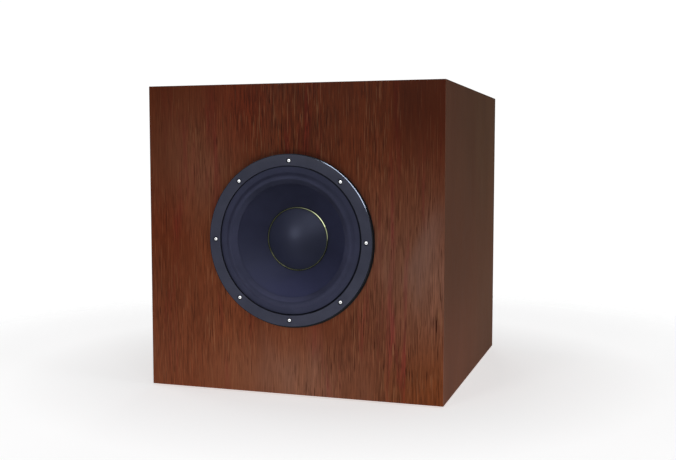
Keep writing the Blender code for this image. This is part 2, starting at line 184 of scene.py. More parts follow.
def veneer(name, along, across, seed, palette, contrast=1.0, specular=0.12, roughness=0.42, painted_height_shade=0.0, sheen_shade_patches=(), lively=()):
    """Reddish-brown veneer: a slow drift of shade and hue along one axis, with narrow streaks, lines and pores over it.
    An optional height gradient paints shade, lighter towards the bottom and darker towards the top, and optional soft
    patches paint sheen and shade or shift the hue.
    """
    mat, tree, bsdf = shader(name, roughness, 0.0, specular)

    def figure(over, length, detail=3.0, rough=0.55, distortion=0.0, shift=0.0):
        scale = [0.5, 0.5, 0.5]
        scale[across] = 1.0 / over
        scale[along] = 1.0 / length
        depth = 3 - along - across
        scale[depth] = 1.0 / over if over > 0.02 else 40.0
        return noise_of(tree, stretched(tree, scale, (seed + shift, seed * 0.7 + shift, seed * 1.3)), 1.0, detail, rough, distortion)

    calm = grey(tree, figure(0.120, 0.240, 2.0, 0.5, 0.3, 41.7), 0.35, 1.25, (0.38, 0.62))
    for centre, reach, gain in lively:
        calm = combine(tree, calm, combine(tree, combine(tree, spot(tree, centre, reach), gain, "MULTIPLY"), 1.0, "ADD"), "MULTIPLY")
    bands = figure(0.150, 0.60, 3.0, 0.5, 0.4)
    hue = figure(0.100, 0.34, 2.0, 0.5, 0.5, 5.3)
    red = figure(0.022, 0.30, 3.0, 0.6, 0.3, 7.1)
    streaks = figure(0.0080, 0.17, 4.0, 0.65, 0.15, 3.3)
    fine = figure(0.0016, 0.036, 3.0, 0.6, 0.0, 11.7)
    dark_lines = figure(0.0018, 0.044, 1.0, 0.5, 0.0, 19.1)
    pores = figure(0.0014, 0.028, 1.0, 0.5, 0.0, 23.9)
    light_lines = figure(0.0017, 0.046, 1.0, 0.5, 0.0, 29.3)

    body = ramp(tree, bands, [(0.30, palette[0]), (0.50, palette[1]), (0.70, palette[2])])
    body = mixed(tree, grey(tree, hue, 0.0, 0.45, (0.50, 0.70)), body, palette[3])
    body = mixed(tree, combine(tree, grey(tree, red, 0.0, 0.60 * contrast, (0.55, 0.70)), calm, "MULTIPLY"), body, palette[4])
    for streak, low, high in ((streaks, -0.11, 0.09), (fine, -0.30, 0.27)):
        swing = combine(tree, grey(tree, streak, low * contrast, high * contrast, (0.30, 0.70)), calm, "MULTIPLY")
        body = _scaled(tree, body, combine(tree, swing, 1.0, "ADD"))
    # painted shade: lighter and a little greener and bluer towards the bottom, darker and redder towards the top,
    # standing in for the floor's bounce light
    if painted_height_shade:
        coords = tree.nodes.new("ShaderNodeTexCoord")
        split = tree.nodes.new("ShaderNodeSeparateXYZ")
        tree.links.new(coords.outputs["Object"], split.inputs[0])
        rise = grey(tree, split.outputs["Z"], 0.0, 1.0, (0.0, SIDE * MM))
        body = _times(tree, body, ramp(tree, rise, [(0.0, (0.5 + painted_height_shade / 4, 0.535 + painted_height_shade / 4, 0.50 + painted_height_shade / 4)), (0.5, (0.5, 0.50, 0.47)), (1.0, (0.5 - painted_height_shade / 2, 0.445 - painted_height_shade / 2, 0.38 - painted_height_shade / 2))]))
        body = _scaled(tree, body, grey(tree, rise, 2.0, 2.0))
    # painted sheen and shade: each soft patch tints the veneer lighter, darker or to another hue
    for centre, reach, tint in sheen_shade_patches:
        weight = combine(tree, spot(tree, centre, reach), grey(tree, hue, 0.75, 1.25, (0.3, 0.7)), "MULTIPLY")
        body = _times(tree, body, combine_tint(tree, weight, tint))
    for line, share, tone in ((dark_lines, 0.62, (0.060, 0.013, 0.006)), (pores, 0.36, (0.050, 0.012, 0.006)), (light_lines, 0.29, (0.48, 0.205, 0.095))):
        body = mixed(tree, combine(tree, grey(tree, line, 0.0, share * contrast, (0.62, 0.69)), calm, "MULTIPLY"), body, tone)
    tree.links.new(body, bsdf.inputs["Base Color"])
    tree.links.new(grey(tree, fine, roughness - 0.05, roughness + 0.08, (0.3, 0.7)), bsdf.inputs["Roughness"])
    height = combine(tree, grey(tree, fine, 0.0, 0.6, (0.3, 0.7)), grey(tree, pores, 0.0, -1.0, (0.58, 0.72)), "ADD")
    bump(tree, bsdf, height, 0.35, 0.00012)
    return mat


def _times(tree, colour, other):
    made = tree.nodes.new("ShaderNodeVectorMath")
    made.operation = "MULTIPLY"
    tree.links.new(colour, made.inputs[0])
    tree.links.new(other, made.inputs[1])
    return made.outputs["Vector"]


def spot(tree, centre, reach):
    """One in the middle of a soft oval patch of the piece, zero outside it."""
    coords = tree.nodes.new("ShaderNodeTexCoord")
    away = tree.nodes.new("ShaderNodeVectorMath")
    away.operation = "SUBTRACT"
    tree.links.new(coords.outputs["Object"], away.inputs[0])
    away.inputs[1].default_value = centre
    shrunk = tree.nodes.new("ShaderNodeVectorMath")
    shrunk.operation = "DIVIDE"
    tree.links.new(away.outputs["Vector"], shrunk.inputs[0])
    shrunk.inputs[1].default_value = reach
    size = tree.nodes.new("ShaderNodeVectorMath")
    size.operation = "LENGTH"
    tree.links.new(shrunk.outputs["Vector"], size.inputs[0])
    made = tree.nodes.new("ShaderNodeMapRange")
    made.interpolation_type = "SMOOTHSTEP"
    made.inputs["To Min"].default_value, made.inputs["To Max"].default_value = 1.0, 0.0
    tree.links.new(size.outputs["Value"], made.inputs["Value"])
    return made.outputs["Result"]


def combine_tint(tree, weight, tint):
    """White where weight is zero, and white plus tint where it is one."""
    made = tree.nodes.new("ShaderNodeVectorMath")
    made.operation = "MULTIPLY_ADD"
    tree.links.new(weight, made.inputs[0])
    made.inputs[1].default_value = tint
    made.inputs[2].default_value = (1.0, 1.0, 1.0)
    return made.outputs["Vector"]


def _scaled(tree, colour, factor):
    made = tree.nodes.new("ShaderNodeVectorMath")
    made.operation = "SCALE"
    tree.links.new(colour, made.inputs[0])
    tree.links.new(factor, made.inputs["Scale"])
    return made.outputs["Vector"]


def from_axis(tree, x, z):
    """Offsets from an axis along Y, across and up, and the distance from it."""
    coords = tree.nodes.new("ShaderNodeTexCoord")
    split = tree.nodes.new("ShaderNodeSeparateXYZ")
    tree.links.new(coords.outputs["Object"], split.inputs[0])
    dx = combine(tree, split.outputs["X"], x, "SUBTRACT")
    dz = combine(tree, split.outputs["Z"], z, "SUBTRACT")
    squares = combine(tree, combine(tree, dx, dx, "MULTIPLY"), combine(tree, dz, dz, "MULTIPLY"), "ADD")
    return dx, dz, combine(tree, squares, 0.5, "POWER")


def speckled(name, colour, roughness, metallic=0.0, specular=0.5, size=0.0006, relief=0.05, depth=0.00005, spread=0.25, blotch=0.03, tint=None, ior=1.5, painted_height_shade=None, edge=None, painted_shade_sweep=None, inner=None):
    """A moulded, cast or painted skin: a fine texture, and a slow drift of colour and gloss. Optional gradients paint
    light and shade into the colour: by height, past a radius from an offset axis, from bottom to top about the driver's
    axis, and on a band near that axis.
    """
    mat, tree, bsdf = shader(name, roughness, metallic, specular)
    if tint:
        bsdf.inputs["Specular Tint"].default_value = (*tint, 1.0)
    bsdf.inputs["IOR"].default_value = ior
    s = 1.0 / size
    grain = noise_of(tree, stretched(tree, (s, s, s)), 1.0, 2.0, 0.6)
    drift = noise_of(tree, stretched(tree, (1 / blotch,) * 3, (4.0, 1.0, 2.0)), 1.0, 3.0, 0.5)
    low = tuple(c * (1 - spread) for c in colour)
    high = tuple(min(1.0, c * (1 + spread)) for c in colour)
    tone = ramp(tree, drift, [(0.32, low), (0.68, high)])
    tone = _scaled(tree, tone, grey(tree, grain, 0.92, 1.08))
    # painted shade: the colour scaled by height
    if painted_height_shade:
        coords = tree.nodes.new("ShaderNodeTexCoord")
        split = tree.nodes.new("ShaderNodeSeparateXYZ")
        tree.links.new(coords.outputs["Object"], split.inputs[0])
        tone = _scaled(tree, tone, grey(tree, split.outputs["Z"], painted_height_shade[0], painted_height_shade[1], painted_height_shade[2:]))
    # painted shadow: the colour drops past a radius from an axis, for the shadow in a gap
    if edge:
        _, _, away = from_axis(tree, edge[0], edge[1])
        tone = _scaled(tree, tone, grey(tree, away, 1.0, edge[4], edge[2:4]))
    # painted shade: about the driver's axis, lighter towards the bottom and darker towards the top
    if painted_shade_sweep:
        _, dz, away = from_axis(tree, 0.0, AXIS_Z * MM)
        height = combine(tree, dz, combine(tree, combine(tree, away, 0.5, "MULTIPLY"), 0.0535, "ADD"), "DIVIDE")
        height = combine(tree, combine(tree, height, 0.5, "MULTIPLY"), 0.5, "ADD")
        peak = max(level for _, level in painted_shade_sweep)
        drawn = ramp(tree, height, [(place, (level / peak,) * 3) for place, level in painted_shade_sweep])
        tone = _scaled(tree, tone, combine(tree, drawn, peak, "MULTIPLY"))
    # painted shade: on a band near the axis, lighter at the bottom and darker at the top
    if inner:
        dx, dz, away = from_axis(tree, 0.0, AXIS_Z * MM)
        height = combine(tree, dz, combine(tree, dx, 0.15, "MULTIPLY"), "ADD")
        slope = combine(tree, grey(tree, height, inner[2], inner[3], (-0.110, -0.083)), grey(tree, height, 1.0, inner[4], (0.005, 0.080)), "MULTIPLY")
        part = grey(tree, away, 1.0, 0.0, inner[:2])
        tone = _scaled(tree, tone, combine(tree, combine(tree, combine(tree, slope, 1.0, "SUBTRACT"), part, "MULTIPLY"), 1.0, "ADD"))
    tree.links.new(tone, bsdf.inputs["Base Color"])
    tree.links.new(grey(tree, combine(tree, grain, drift, "ADD"), max(0.05, roughness - 0.06), min(1.0, roughness + 0.06), (0.7, 1.3)), bsdf.inputs["Roughness"])
    bump(tree, bsdf, grain, relief, depth)
    return mat


def turned_metal(name, colour, roughness, centre, pitch=0.0004, metallic=1.0, relief=0.08):
    """Metal with fine concentric tool marks about the driver's axis."""
    mat, tree, bsdf = shader(name, roughness, metallic)
    coords = tree.nodes.new("ShaderNodeTexCoord")
    split = tree.nodes.new("ShaderNodeSeparateXYZ")
    tree.links.new(coords.outputs["Object"], split.inputs[0])
    dx = combine(tree, split.outputs["X"], centre[0], "SUBTRACT")
    dz = combine(tree, split.outputs["Z"], centre[1], "SUBTRACT")
    radius = combine(tree, combine(tree, combine(tree, dx, dx, "MULTIPLY"), combine(tree, dz, dz, "MULTIPLY"), "ADD"), 0.5, "POWER")
    rings = tree.nodes.new("ShaderNodeCombineXYZ")
    tree.links.new(combine(tree, radius, 1 / pitch, "MULTIPLY"), rings.inputs["X"])
    tree.links.new(combine(tree, split.outputs["Y"], 1 / pitch, "MULTIPLY"), rings.inputs["Y"])
    marks = noise_of(tree, rings.outputs[0], 1.0, 2.0, 0.6)
    drift = noise_of(tree, stretched(tree, (30, 30, 30)), 1.0, 3.0, 0.5)
    tree.links.new(ramp(tree, drift, [(0.3, tuple(c * 0.85 for c in colour)), (0.7, tuple(min(1, c * 1.1) for c in colour))]), bsdf.inputs["Base Color"])
    tree.links.new(grey(tree, marks, max(0.05, roughness - 0.08), roughness + 0.1), bsdf.inputs["Roughness"])
    bump(tree, bsdf, marks, relief, 0.00003)
    return mat


def woven(name, colour, roughness, pitch):
    """Plain-weave cloth: two crossed sets of threads."""
    mat, tree, bsdf = shader(name, roughness, 0.0, 0.3)
    coords = tree.nodes.new("ShaderNodeTexCoord")
    split = tree.nodes.new("ShaderNodeSeparateXYZ")
    tree.links.new(coords.outputs["Object"], split.inputs[0])
    k = 2 * math.pi / pitch
    warp = combine(tree, combine(tree, split.outputs["X"], k, "MULTIPLY"), 0.0, "SINE")
    weft = combine(tree, combine(tree, split.outputs["Z"], k, "MULTIPLY"), 0.0, "SINE")
    threads = combine(tree, warp, weft, "MULTIPLY")
    drift = noise_of(tree, stretched(tree, (60, 60, 60)), 1.0, 3.0, 0.5)
    tone = ramp(tree, drift, [(0.3, tuple(c * 0.8 for c in colour)), (0.7, tuple(min(1, c * 1.15) for c in colour))])
    tree.links.new(_scaled(tree, tone, grey(tree, threads, 0.7, 1.1, (-0.8, 0.8))), bsdf.inputs["Base Color"])
    bump(tree, bsdf, threads, 0.5, 0.0002)
    return mat


def plywood(name):
    mat, tree, bsdf = shader(name, 0.62, 0.0, 0.3)
    grain = noise_of(tree, stretched(tree, (260.0, 40.0, 5.0)), 1.0, 4.0, 0.6, 0.3)
    tone = ramp(tree, grain, [(0.30, (0.44, 0.30, 0.165)), (0.55, (0.60, 0.44, 0.26)), (0.72, (0.68, 0.53, 0.34))])
    coords = tree.nodes.new("ShaderNodeTexCoord")
    split = tree.nodes.new("ShaderNodeSeparateXYZ")
    tree.links.new(coords.outputs["Object"], split.inputs[0])
    plies = combine(tree, combine(tree, split.outputs["Y"], 2 * math.pi / 0.0028, "MULTIPLY"), 0.0, "SINE")
    tone = _scaled(tree, tone, grey(tree, plies, 0.82, 1.06, (-0.9, 0.9)))
    tree.links.new(tone, bsdf.inputs["Base Color"])
    bump(tree, bsdf, grain, 0.3, 0.0002)
    return mat


X, Y, Z = 0, 1, 2
# darker, middle and lighter ground, a plum-brown drift, and the deep red of the figure
WOOD = [(0.205, 0.048, 0.019), (0.255, 0.062, 0.025), (0.300, 0.080, 0.032), (0.250, 0.078, 0.042), (0.250, 0.032, 0.020)]
QUIET = [(0.196, 0.070, 0.034), (0.230, 0.087, 0.043), (0.260, 0.101, 0.051), (0.230, 0.096, 0.053), (0.240, 0.064, 0.035)]
# a whitish tint that raises green and blue most: painted sheen
SHEEN_TINT = (0.25, 0.80, 1.45)
# front patches, as centre, reach and tint: painted sheen at the right middle, the upper left and the bottom, painted
# shade at the top right, and plain hue shifts at the top, the left and the bottom right
FRONT_SHEEN_SHADE_PATCHES = [((0.22, 0.0, 0.24), (0.22, 9.0, 0.26), SHEEN_TINT), ((0.02, 0.0, 0.03), (0.24, 9.0, 0.12), SHEEN_TINT), ((-0.20, 0.0, 0.43), (0.17, 9.0, 0.17), SHEEN_TINT),
        ((0.25, 0.0, 0.52), (0.22, 9.0, 0.16), (-0.32, -0.40, -0.45)), ((0.27, 0.0, 0.02), (0.16, 9.0, 0.12), (-0.02, -0.06, -0.40)),
        ((-0.10, 0.0, 0.53), (0.10, 9.0, 0.13), (0.10, -0.16, -0.14)), ((-0.25, 0.0, 0.32), (0.08, 9.0, 0.12), (0.10, -0.10, -0.15)),
        ((0.23, 0.0, 0.25), (0.15, 9.0, 0.25), (0.03, 0.18, 0.32))]
LIVELY = [((-0.03, 0.0, 0.50), (0.24, 9.0, 0.18), 1.3), ((0.24, 0.0, 0.53), (0.11, 9.0, 0.13), -0.60), ((-0.24, 0.0, 0.42), (0.12, 9.0, 0.15), -0.65),
          ((0.21, 0.0, 0.12), (0.12, 9.0, 0.12), 0.6)]
# side patches, as centre, reach and tint: painted light low down towards the front, and lighter, greener patches
# towards the back
SIDE_LIGHT_AND_TONE_PATCHES = [((0.28, -0.20, 0.02), (9.0, 0.40, 0.22), (0.30, 0.20, 0.22)), ((0.28, 0.25, 0.36), (9.0, 0.38, 0.50), (0.10, 0.20, 0.20)),
             ((0.28, 0.20, 0.54), (9.0, 0.55, 0.34), (0.04, 0.20, 0.15)), ((0.28, 0.27, 0.10), (9.0, 0.34, 0.24), (0.06, 0.13, 0.15))]
# the front and rear veneers carry the painted height shade
VENEER_FRONT = veneer("veneer_front", Z, X, 1.7, WOOD, painted_height_shade=0.15, sheen_shade_patches=FRONT_SHEEN_SHADE_PATCHES, lively=LIVELY)
VENEER_REAR = veneer("veneer_rear", Z, X, 23.1, WOOD, painted_height_shade=0.15)
# painted light: the right side takes the left side's palette made 12 % lighter, with painted light patches
VENEER_RIGHT_PAINTED_LIGHT = veneer("veneer_right_painted_light", Z, Y, 5.9, [tuple(1.12 * c for c in colour) for colour in QUIET], contrast=0.40, specular=0.80, sheen_shade_patches=SIDE_LIGHT_AND_TONE_PATCHES)
VENEER_LEFT = veneer("veneer_left", Z, Y, 12.4, QUIET, contrast=0.40, specular=0.80)
VENEER_TOP = veneer("veneer_top", Y, X, 31.6, QUIET, contrast=0.6)
VENEER_BOTTOM = veneer("veneer_bottom", Y, X, 41.6, QUIET, contrast=0.6)
MDF = speckled("board_core", (0.30, 0.195, 0.110), 0.85, 0.0, 0.2, 0.0009, 0.35, 0.00012, 0.18, 0.05)
PLY = plywood("birch_ply")
PAINT = speckled("basket_paint", (0.080, 0.086, 0.136), 0.36, 0.0, 0.5, 0.0009, 0.08, 0.00005, 0.08)
EDGE_METAL = turned_metal("machined_edge", (0.42, 0.48, 0.62), 0.15, (0.0, AXIS_Z * MM), metallic=1.0, relief=0.02)
# the surround's rubber: darkened to a tenth from 132 mm out from an axis 1.6 mm left of the driver's, a painted shadow
# of the flange's lip that is widest on the right; its inner band is painted lighter below and darker above (painted
# shade)
RUBBER = speckled("surround_rubber", (0.066, 0.069, 0.125), 0.52, 0.0, 0.4, 0.0012, 0.06, 0.00005, 0.08, tint=(0.6, 0.7, 1.0), edge=(-0.0016, AXIS_Z * MM, 0.1320, 0.1328, 0.10),
                  inner=(0.1092, 0.1116, 2.0, 1.1, 0.52))
# the cone's skin: its colour scaled from 2.75 at the bottom down to 0.38 at the top, painted shade
CONE = speckled("cone_skin", (0.029, 0.031, 0.074), 0.60, 0.0, 0.9, 0.0011, 0.08, 0.00006, 0.08, tint=(0.62, 0.67, 1.0), ior=1.75,
                painted_shade_sweep=[(0.0, 2.75), (0.04, 2.5), (0.15, 1.66), (0.31, 1.04), (0.5, 0.93), (0.69, 0.92), (0.85, 0.70), (1.0, 0.38)])
CAP = speckled("dust_cap_skin", (0.026, 0.029, 0.062), 0.53, 0.0, 1.0, 0.0010, 0.04, 0.00004, 0.08, tint=(0.64, 0.70, 1.0), ior=1.88)
# near-black standing in for shadow on the flange's walls: painted shade
RIM_PAINTED_SHADE = speckled("basket_rim_painted_shade", (0.016, 0.016, 0.022), 0.55, 0.0, 0.3, 0.0009, 0.08, 0.00005, 0.10)
LINE = speckled("yellow_metal", (0.62, 0.65, 0.34), 0.30, 1.0, 0.5, 0.0006, 0.03, 0.00002, 0.06)
BRIGHT_LINE = speckled("polished_yellow_metal", (0.33, 0.36, 0.215), 0.3, 1.0, 0.5, 0.0006, 0.004, 0.000003, 0.05)
SCREW = speckled("bright_zinc", (0.92, 0.93, 0.95), 0.17, 1.0, 0.5, 0.0005, 0.004, 0.000003, 0.03)
# a darker, duller metal for the hex recess: painted shade
SOCKET_PAINTED_SHADE = speckled("dull_socket_painted_shade", (0.30, 0.31, 0.33), 0.42, 1.0, 0.5, 0.0005, 0.03, 0.00002, 0.08)
for mat in (SCREW, BRIGHT_LINE):
    link = next(k for k in mat.node_tree.links if k.to_socket.name == "Roughness")
    polish = link.to_node
    mat.node_tree.links.remove(link)
    polish.inputs["Roughness"].default_value = 0.0
ZINC = speckled("plated_steel", (0.62, 0.63, 0.65), 0.30, 1.0, 0.5, 0.0005, 0.05, 0.00003, 0.05)
BLACK_SCREW = speckled("black_oxide", (0.03, 0.03, 0.032), 0.35, 0.6, 0.5, 0.0005, 0.08, 0.00003, 0.2)
ABS = speckled("spark_eroded_abs", (0.040, 0.040, 0.043), 0.42, 0.0, 0.5, 0.0007, 0.30, 0.00010, 0.15)
FOAM = speckled("closed_cell_foam", (0.025, 0.025, 0.026), 0.95, 0.0, 0.2, 0.0012, 0.60, 0.0003, 0.2)
FOOT = speckled("foot_rubber", (0.025, 0.025, 0.026), 0.80, 0.0, 0.3, 0.0010, 0.25, 0.0002, 0.2)
RED = speckled("red_cap", (0.48, 0.018, 0.016), 0.32, 0.0, 0.5, 0.0008, 0.05, 0.00003, 0.1)
BLACK = speckled("black_cap", (0.030, 0.030, 0.033), 0.30, 0.0, 0.6, 0.0008, 0.05, 0.00003, 0.15)
FERRITE = speckled("ferrite", (0.055, 0.055, 0.058), 0.72, 0.1, 0.4, 0.0010, 0.35, 0.0002, 0.2)
STEEL = turned_metal("black_steel", (0.17, 0.17, 0.18), 0.38, (0.0, AXIS_Z * MM))
ALLOY = turned_metal("former_alloy", (0.72, 0.73, 0.75), 0.30, (0.0, AXIS_Z * MM))
BRASS = speckled("post_brass", (0.80, 0.58, 0.22), 0.26, 1.0, 0.5, 0.0006, 0.05, 0.00003, 0.06)
COPPER = speckled("enamelled_copper", (0.62, 0.22, 0.09), 0.30, 0.9, 0.5, 0.0006, 0.10, 0.00005, 0.1)
CLOTH = woven("spider_cloth", (0.40, 0.28, 0.10), 0.85, 0.0011)
FLEECE = speckled("polyester_fleece", (0.74, 0.74, 0.72), 1.0, 0.0, 0.1, 0.0020, 0.90, 0.0012, 0.08)
BOARD = speckled("phenolic_board", (0.20, 0.105, 0.045), 0.55, 0.0, 0.4, 0.0008, 0.15, 0.00006, 0.2)


# ------------------------------------------------------------------ mesh helpers
def piece(name, verts, faces, mat, body, stands_for=(), slot=None, sharp=30.0):
    mesh = bpy.data.meshes.new(name)
    mesh.from_pydata([tuple(v) for v in verts], [], faces)
    bm = bmesh.new()
    bm.from_mesh(mesh)
    bmesh.ops.remove_doubles(bm, verts=bm.verts, dist=1e-7)
    bmesh.ops.recalc_face_normals(bm, faces=bm.faces)
    bm.to_mesh(mesh)
    bm.free()
    obj = bpy.data.objects.new(name, mesh)
    bpy.context.scene.collection.objects.link(obj)
    return dress(obj, mat, body, stands_for, sharp)


def dress(obj, mat, body, stands_for=(), sharp=30.0):
    obj.data.materials.clear()
    obj.data.materials.append(mat)
    obj.data.shade_smooth()
    obj.data.set_sharp_from_angle(angle=math.radians(sharp))
    if body:
        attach(obj, body)
    if stands_for:
        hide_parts(*([stands_for] if isinstance(stands_for, str) else stands_for))
    return obj


def rounded(points, steps=4):
    """points are (r, a) or (r, a, radius): each corner with a radius becomes an arc."""
    out = []
    n = len(points)
    for i, point in enumerate(points):
        p = Vector(point[:2])
        radius = point[2] if len(point) > 2 else 0.0
        if radius <= 0:
            out.append((p.x, p.y))
            continue
        before, after = Vector(points[i - 1][:2]), Vector(points[(i + 1) % n][:2])
        d1, d2 = before - p, after - p
        l1, l2 = d1.length, d2.length
        d1.normalize()
        d2.normalize()
        angle = math.acos(max(-1.0, min(1.0, d1.dot(d2))))
        if angle > math.radians(178):
            out.append((p.x, p.y))
            continue
        reach = min(radius / math.tan(angle / 2), 0.48 * l1, 0.48 * l2)
        radius = reach * math.tan(angle / 2)
        centre = p + (d1 + d2).normalized() * (radius / math.sin(angle / 2))
        u1, u2 = (p + d1 * reach - centre) / radius, (p + d2 * reach - centre) / radius
        turn = math.acos(max(-1.0, min(1.0, u1.dot(u2))))
        for k in range(steps + 1):
            s = k / steps
            q = centre + radius * (u1 * math.sin((1 - s) * turn) + u2 * math.sin(s * turn)) / math.sin(turn)
            out.append((q.x, q.y))
    return out


def lathe(section, segments, centre=(0.0, None)):
    """Vertices and faces of a closed section (r, a) turned about the axis along Y."""
    cx, cz = centre[0], AXIS_Z if centre[1] is None else centre[1]
    verts, rings = [], []
    for r, a in section:
        if r < 1e-6:
            rings.append([len(verts)] * segments)
            verts.append(world(cx, a, cz))
            continue
        rings.append(list(range(len(verts), len(verts) + segments)))
        for k in range(segments):
            t = 2 * math.pi * k / segments
            verts.append(world(cx + r * math.cos(t), a, cz + r * math.sin(t)))
    faces = []
    n = len(section)
    for i in range(n):
        first, second = rings[i], rings[(i + 1) % n]
        if section[i][0] < 1e-6 and section[(i + 1) % n][0] < 1e-6:
            continue
        for k in range(segments):
            m = (k + 1) % segments
            face = []
            for v in (first[k], first[m], second[m], second[k]):
                if v not in face:
                    face.append(v)
            if len(face) > 2:
                faces.append(face)
    return verts, faces


def turned(name, section, segments, mat, body, stands_for=(), slot=None, centre=(0.0, None), sharp=30.0):
    verts, faces = lathe(section, segments, centre)
    return piece(name, verts, faces, mat, body, stands_for, slot, sharp)


def skin(points, thickness):
    """A closed section made of a line of points, offset to both sides."""
    left, right = [], []
    n = len(points)
    for i, p in enumerate(points):
        a = Vector(points[max(0, i - 1)])
        b = Vector(points[min(n - 1, i + 1)])
        d = (b - a).normalized()
        nrm = Vector((-d.y, d.x)) * thickness / 2
        left.append((max(0.0, p[0] + nrm.x), p[1] + nrm.y))
        right.append((max(0.0, p[0] - nrm.x), p[1] - nrm.y))
    return left + right[::-1]


def bake_modifiers(obj):
    """Replaces the object's mesh by its evaluated one and drops the modifiers."""
    bpy.context.view_layer.update()
    graph = bpy.context.evaluated_depsgraph_get()
    mesh = bpy.data.meshes.new_from_object(obj.evaluated_get(graph))
    obj.modifiers.clear()
    obj.data = mesh
    return obj


def carve(obj, tools, operation="DIFFERENCE"):
    for tool in tools:
        mod = obj.modifiers.new("carve", "BOOLEAN")
        mod.operation = operation
        mod.solver = "EXACT"
        mod.object = tool
        bake_modifiers(obj)
    for tool in tools:
        bpy.data.objects.remove(tool, do_unlink=True)
    return obj


def raw(name, verts, faces):
    mesh = bpy.data.meshes.new(name)
    mesh.from_pydata([tuple(v) for v in verts], [], faces)
    bm = bmesh.new()
    bm.from_mesh(mesh)
    bmesh.ops.remove_doubles(bm, verts=bm.verts, dist=1e-7)
    bmesh.ops.recalc_face_normals(bm, faces=bm.faces)
    bm.to_mesh(mesh)
    bm.free()
    obj = bpy.data.objects.new(name, mesh)
    bpy.context.scene.collection.objects.link(obj)
    return obj


def bars(name, places, radius, a0, a1, segments=32):
    """Round bars along Y, in one object."""
    verts, faces = [], []
    for x, z in places:
        v, f = lathe([(0, a0), (radius, a0), (radius, a1), (0, a1)], segments, (x, z))
        faces += [[i + len(verts) for i in face] for face in f]
        verts += v
    return raw(name, verts, faces)


# ------------------------------------------------------------------ cabinet panels
def panel(name, axis, sign, mat, stands_for, cuts=()):
    """A mitred slab whose outer edges carry half of a small round-over each, so that the seams close."""
    half, e, steps = SIDE / 2, 0.9, 4
    edge = [half - e + e * math.tan(math.radians(45.0 * k / steps)) for k in range(steps + 1)]
    flat = [half - e - 1.0, half * 0.66, half * 0.33]
    line = sorted([-v for v in edge + flat] + [0.0] + edge + flat)
    u_axis, v_axis = [i for i in range(3) if i != axis]
    centre = Vector((0.0, SIDE / 2, BOTTOM + SIDE / 2))

    def at(local):
        p = [0.0, 0.0, 0.0]
        p[axis], p[u_axis], p[v_axis] = local
        return world(p[0] + centre.x, p[1] + centre.y, p[2] + centre.z)

    n = len(line)
    verts, faces = [], []
    for u in line:
        for v in line:
            p = Vector((half, u, v))
            q = Vector([max(-(half - e), min(half - e, c)) for c in p])
            d = p - q
            p = q + d.normalized() * e if d.length > 1e-9 else p
            verts.append(at((sign * p.x, p.y, p.z)))
    shrink = (half - WALL) / half
    for u in line:
        for v in line:
            verts.append(at((sign * (half - WALL), u * shrink, v * shrink)))
    grid = lambda i, j, base: base + i * n + j
    for base in (0, n * n):
        for i in range(n - 1):
            for j in range(n - 1):
                faces.append([grid(i, j, base), grid(i + 1, j, base), grid(i + 1, j + 1, base), grid(i, j + 1, base)])
    ring = [(i, 0) for i in range(n)] + [(n - 1, j) for j in range(1, n)] + [(i, n - 1) for i in range(n - 2, -1, -1)] + [(0, j) for j in range(n - 2, 0, -1)]
    for k, (i, j) in enumerate(ring):
        i2, j2 = ring[(k + 1) % len(ring)]
        faces.append([grid(i, j, 0), grid(i2, j2, 0), grid(i2, j2, n * n), grid(i, j, n * n)])
    obj = raw(name, verts, faces)
    if cuts:
        carve(obj, cuts)
    return dress(obj, mat, "cabinet", stands_for, 30.0)


def slab(name, width, height, radius, a0, a1, z, x=0.0, segments=8):
    """A rounded rectangle across X and Z, from depth a0 to a1."""
    outline = rect(width, height, radius, segments)
    verts = [world(x + u, a0, z + v) for u, v in outline] + [world(x + u, a1, z + v) for u, v in outline]
    n = len(outline)
    faces = [list(range(n)), list(range(2 * n - 1, n - 1, -1))]
    faces += [[k, (k + 1) % n, n + (k + 1) % n, n + k] for k in range(n)]
    return raw(name, verts, faces)


def rect(width, height, radius, segments=8):
    out = []
    for cx, cy, start in ((1, 1, 0), (-1, 1, 90), (-1, -1, 180), (1, -1, 270)):
        for k in range(segments + 1):
            t = math.radians(start + 90.0 * k / segments)
            out.append((cx * (width / 2 - radius) + radius * math.cos(t), cy * (height / 2 - radius) + radius * math.sin(t)))
    return out


SCREW_XZ = []
for number in range(1, 9):
    lo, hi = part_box(f"driver_screw_{number}")
    SCREW_XZ.append(((lo.x + hi.x) / 2 / MM, (lo.z + hi.z) / 2 / MM))
CUP_SCREW_XZ = []
for number in range(1, 5):
    lo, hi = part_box(f"terminal_cup_screw_{number}")
    CUP_SCREW_XZ.append(((lo.x + hi.x) / 2 / MM, (lo.z + hi.z) / 2 / MM))

panel("front_board", Y, -1, VENEER_FRONT, "front_baffle", [
    bars("tool", [(0.0, AXIS_Z)], 136.5, -20, 40, 128), bars("tool", SCREW_XZ, 2.4, -5, 22, 20)])
panel("rear_board", Y, 1, VENEER_REAR, "rear_panel", [
    slab("tool", 108, 78, 7, REAR - 40, REAR + 10, CUP_Z), bars("tool", CUP_SCREW_XZ, 2.0, REAR - 18, REAR + 12, 20)])
panel("left_board", X, -1, VENEER_LEFT, "left_side_panel")
panel("right_board", X, 1, VENEER_RIGHT_PAINTED_LIGHT, "right_side_panel")
panel("top_board", Z, 1, VENEER_TOP, "top_panel")
panel("bottom_board", Z, -1, VENEER_BOTTOM, "bottom_panel")

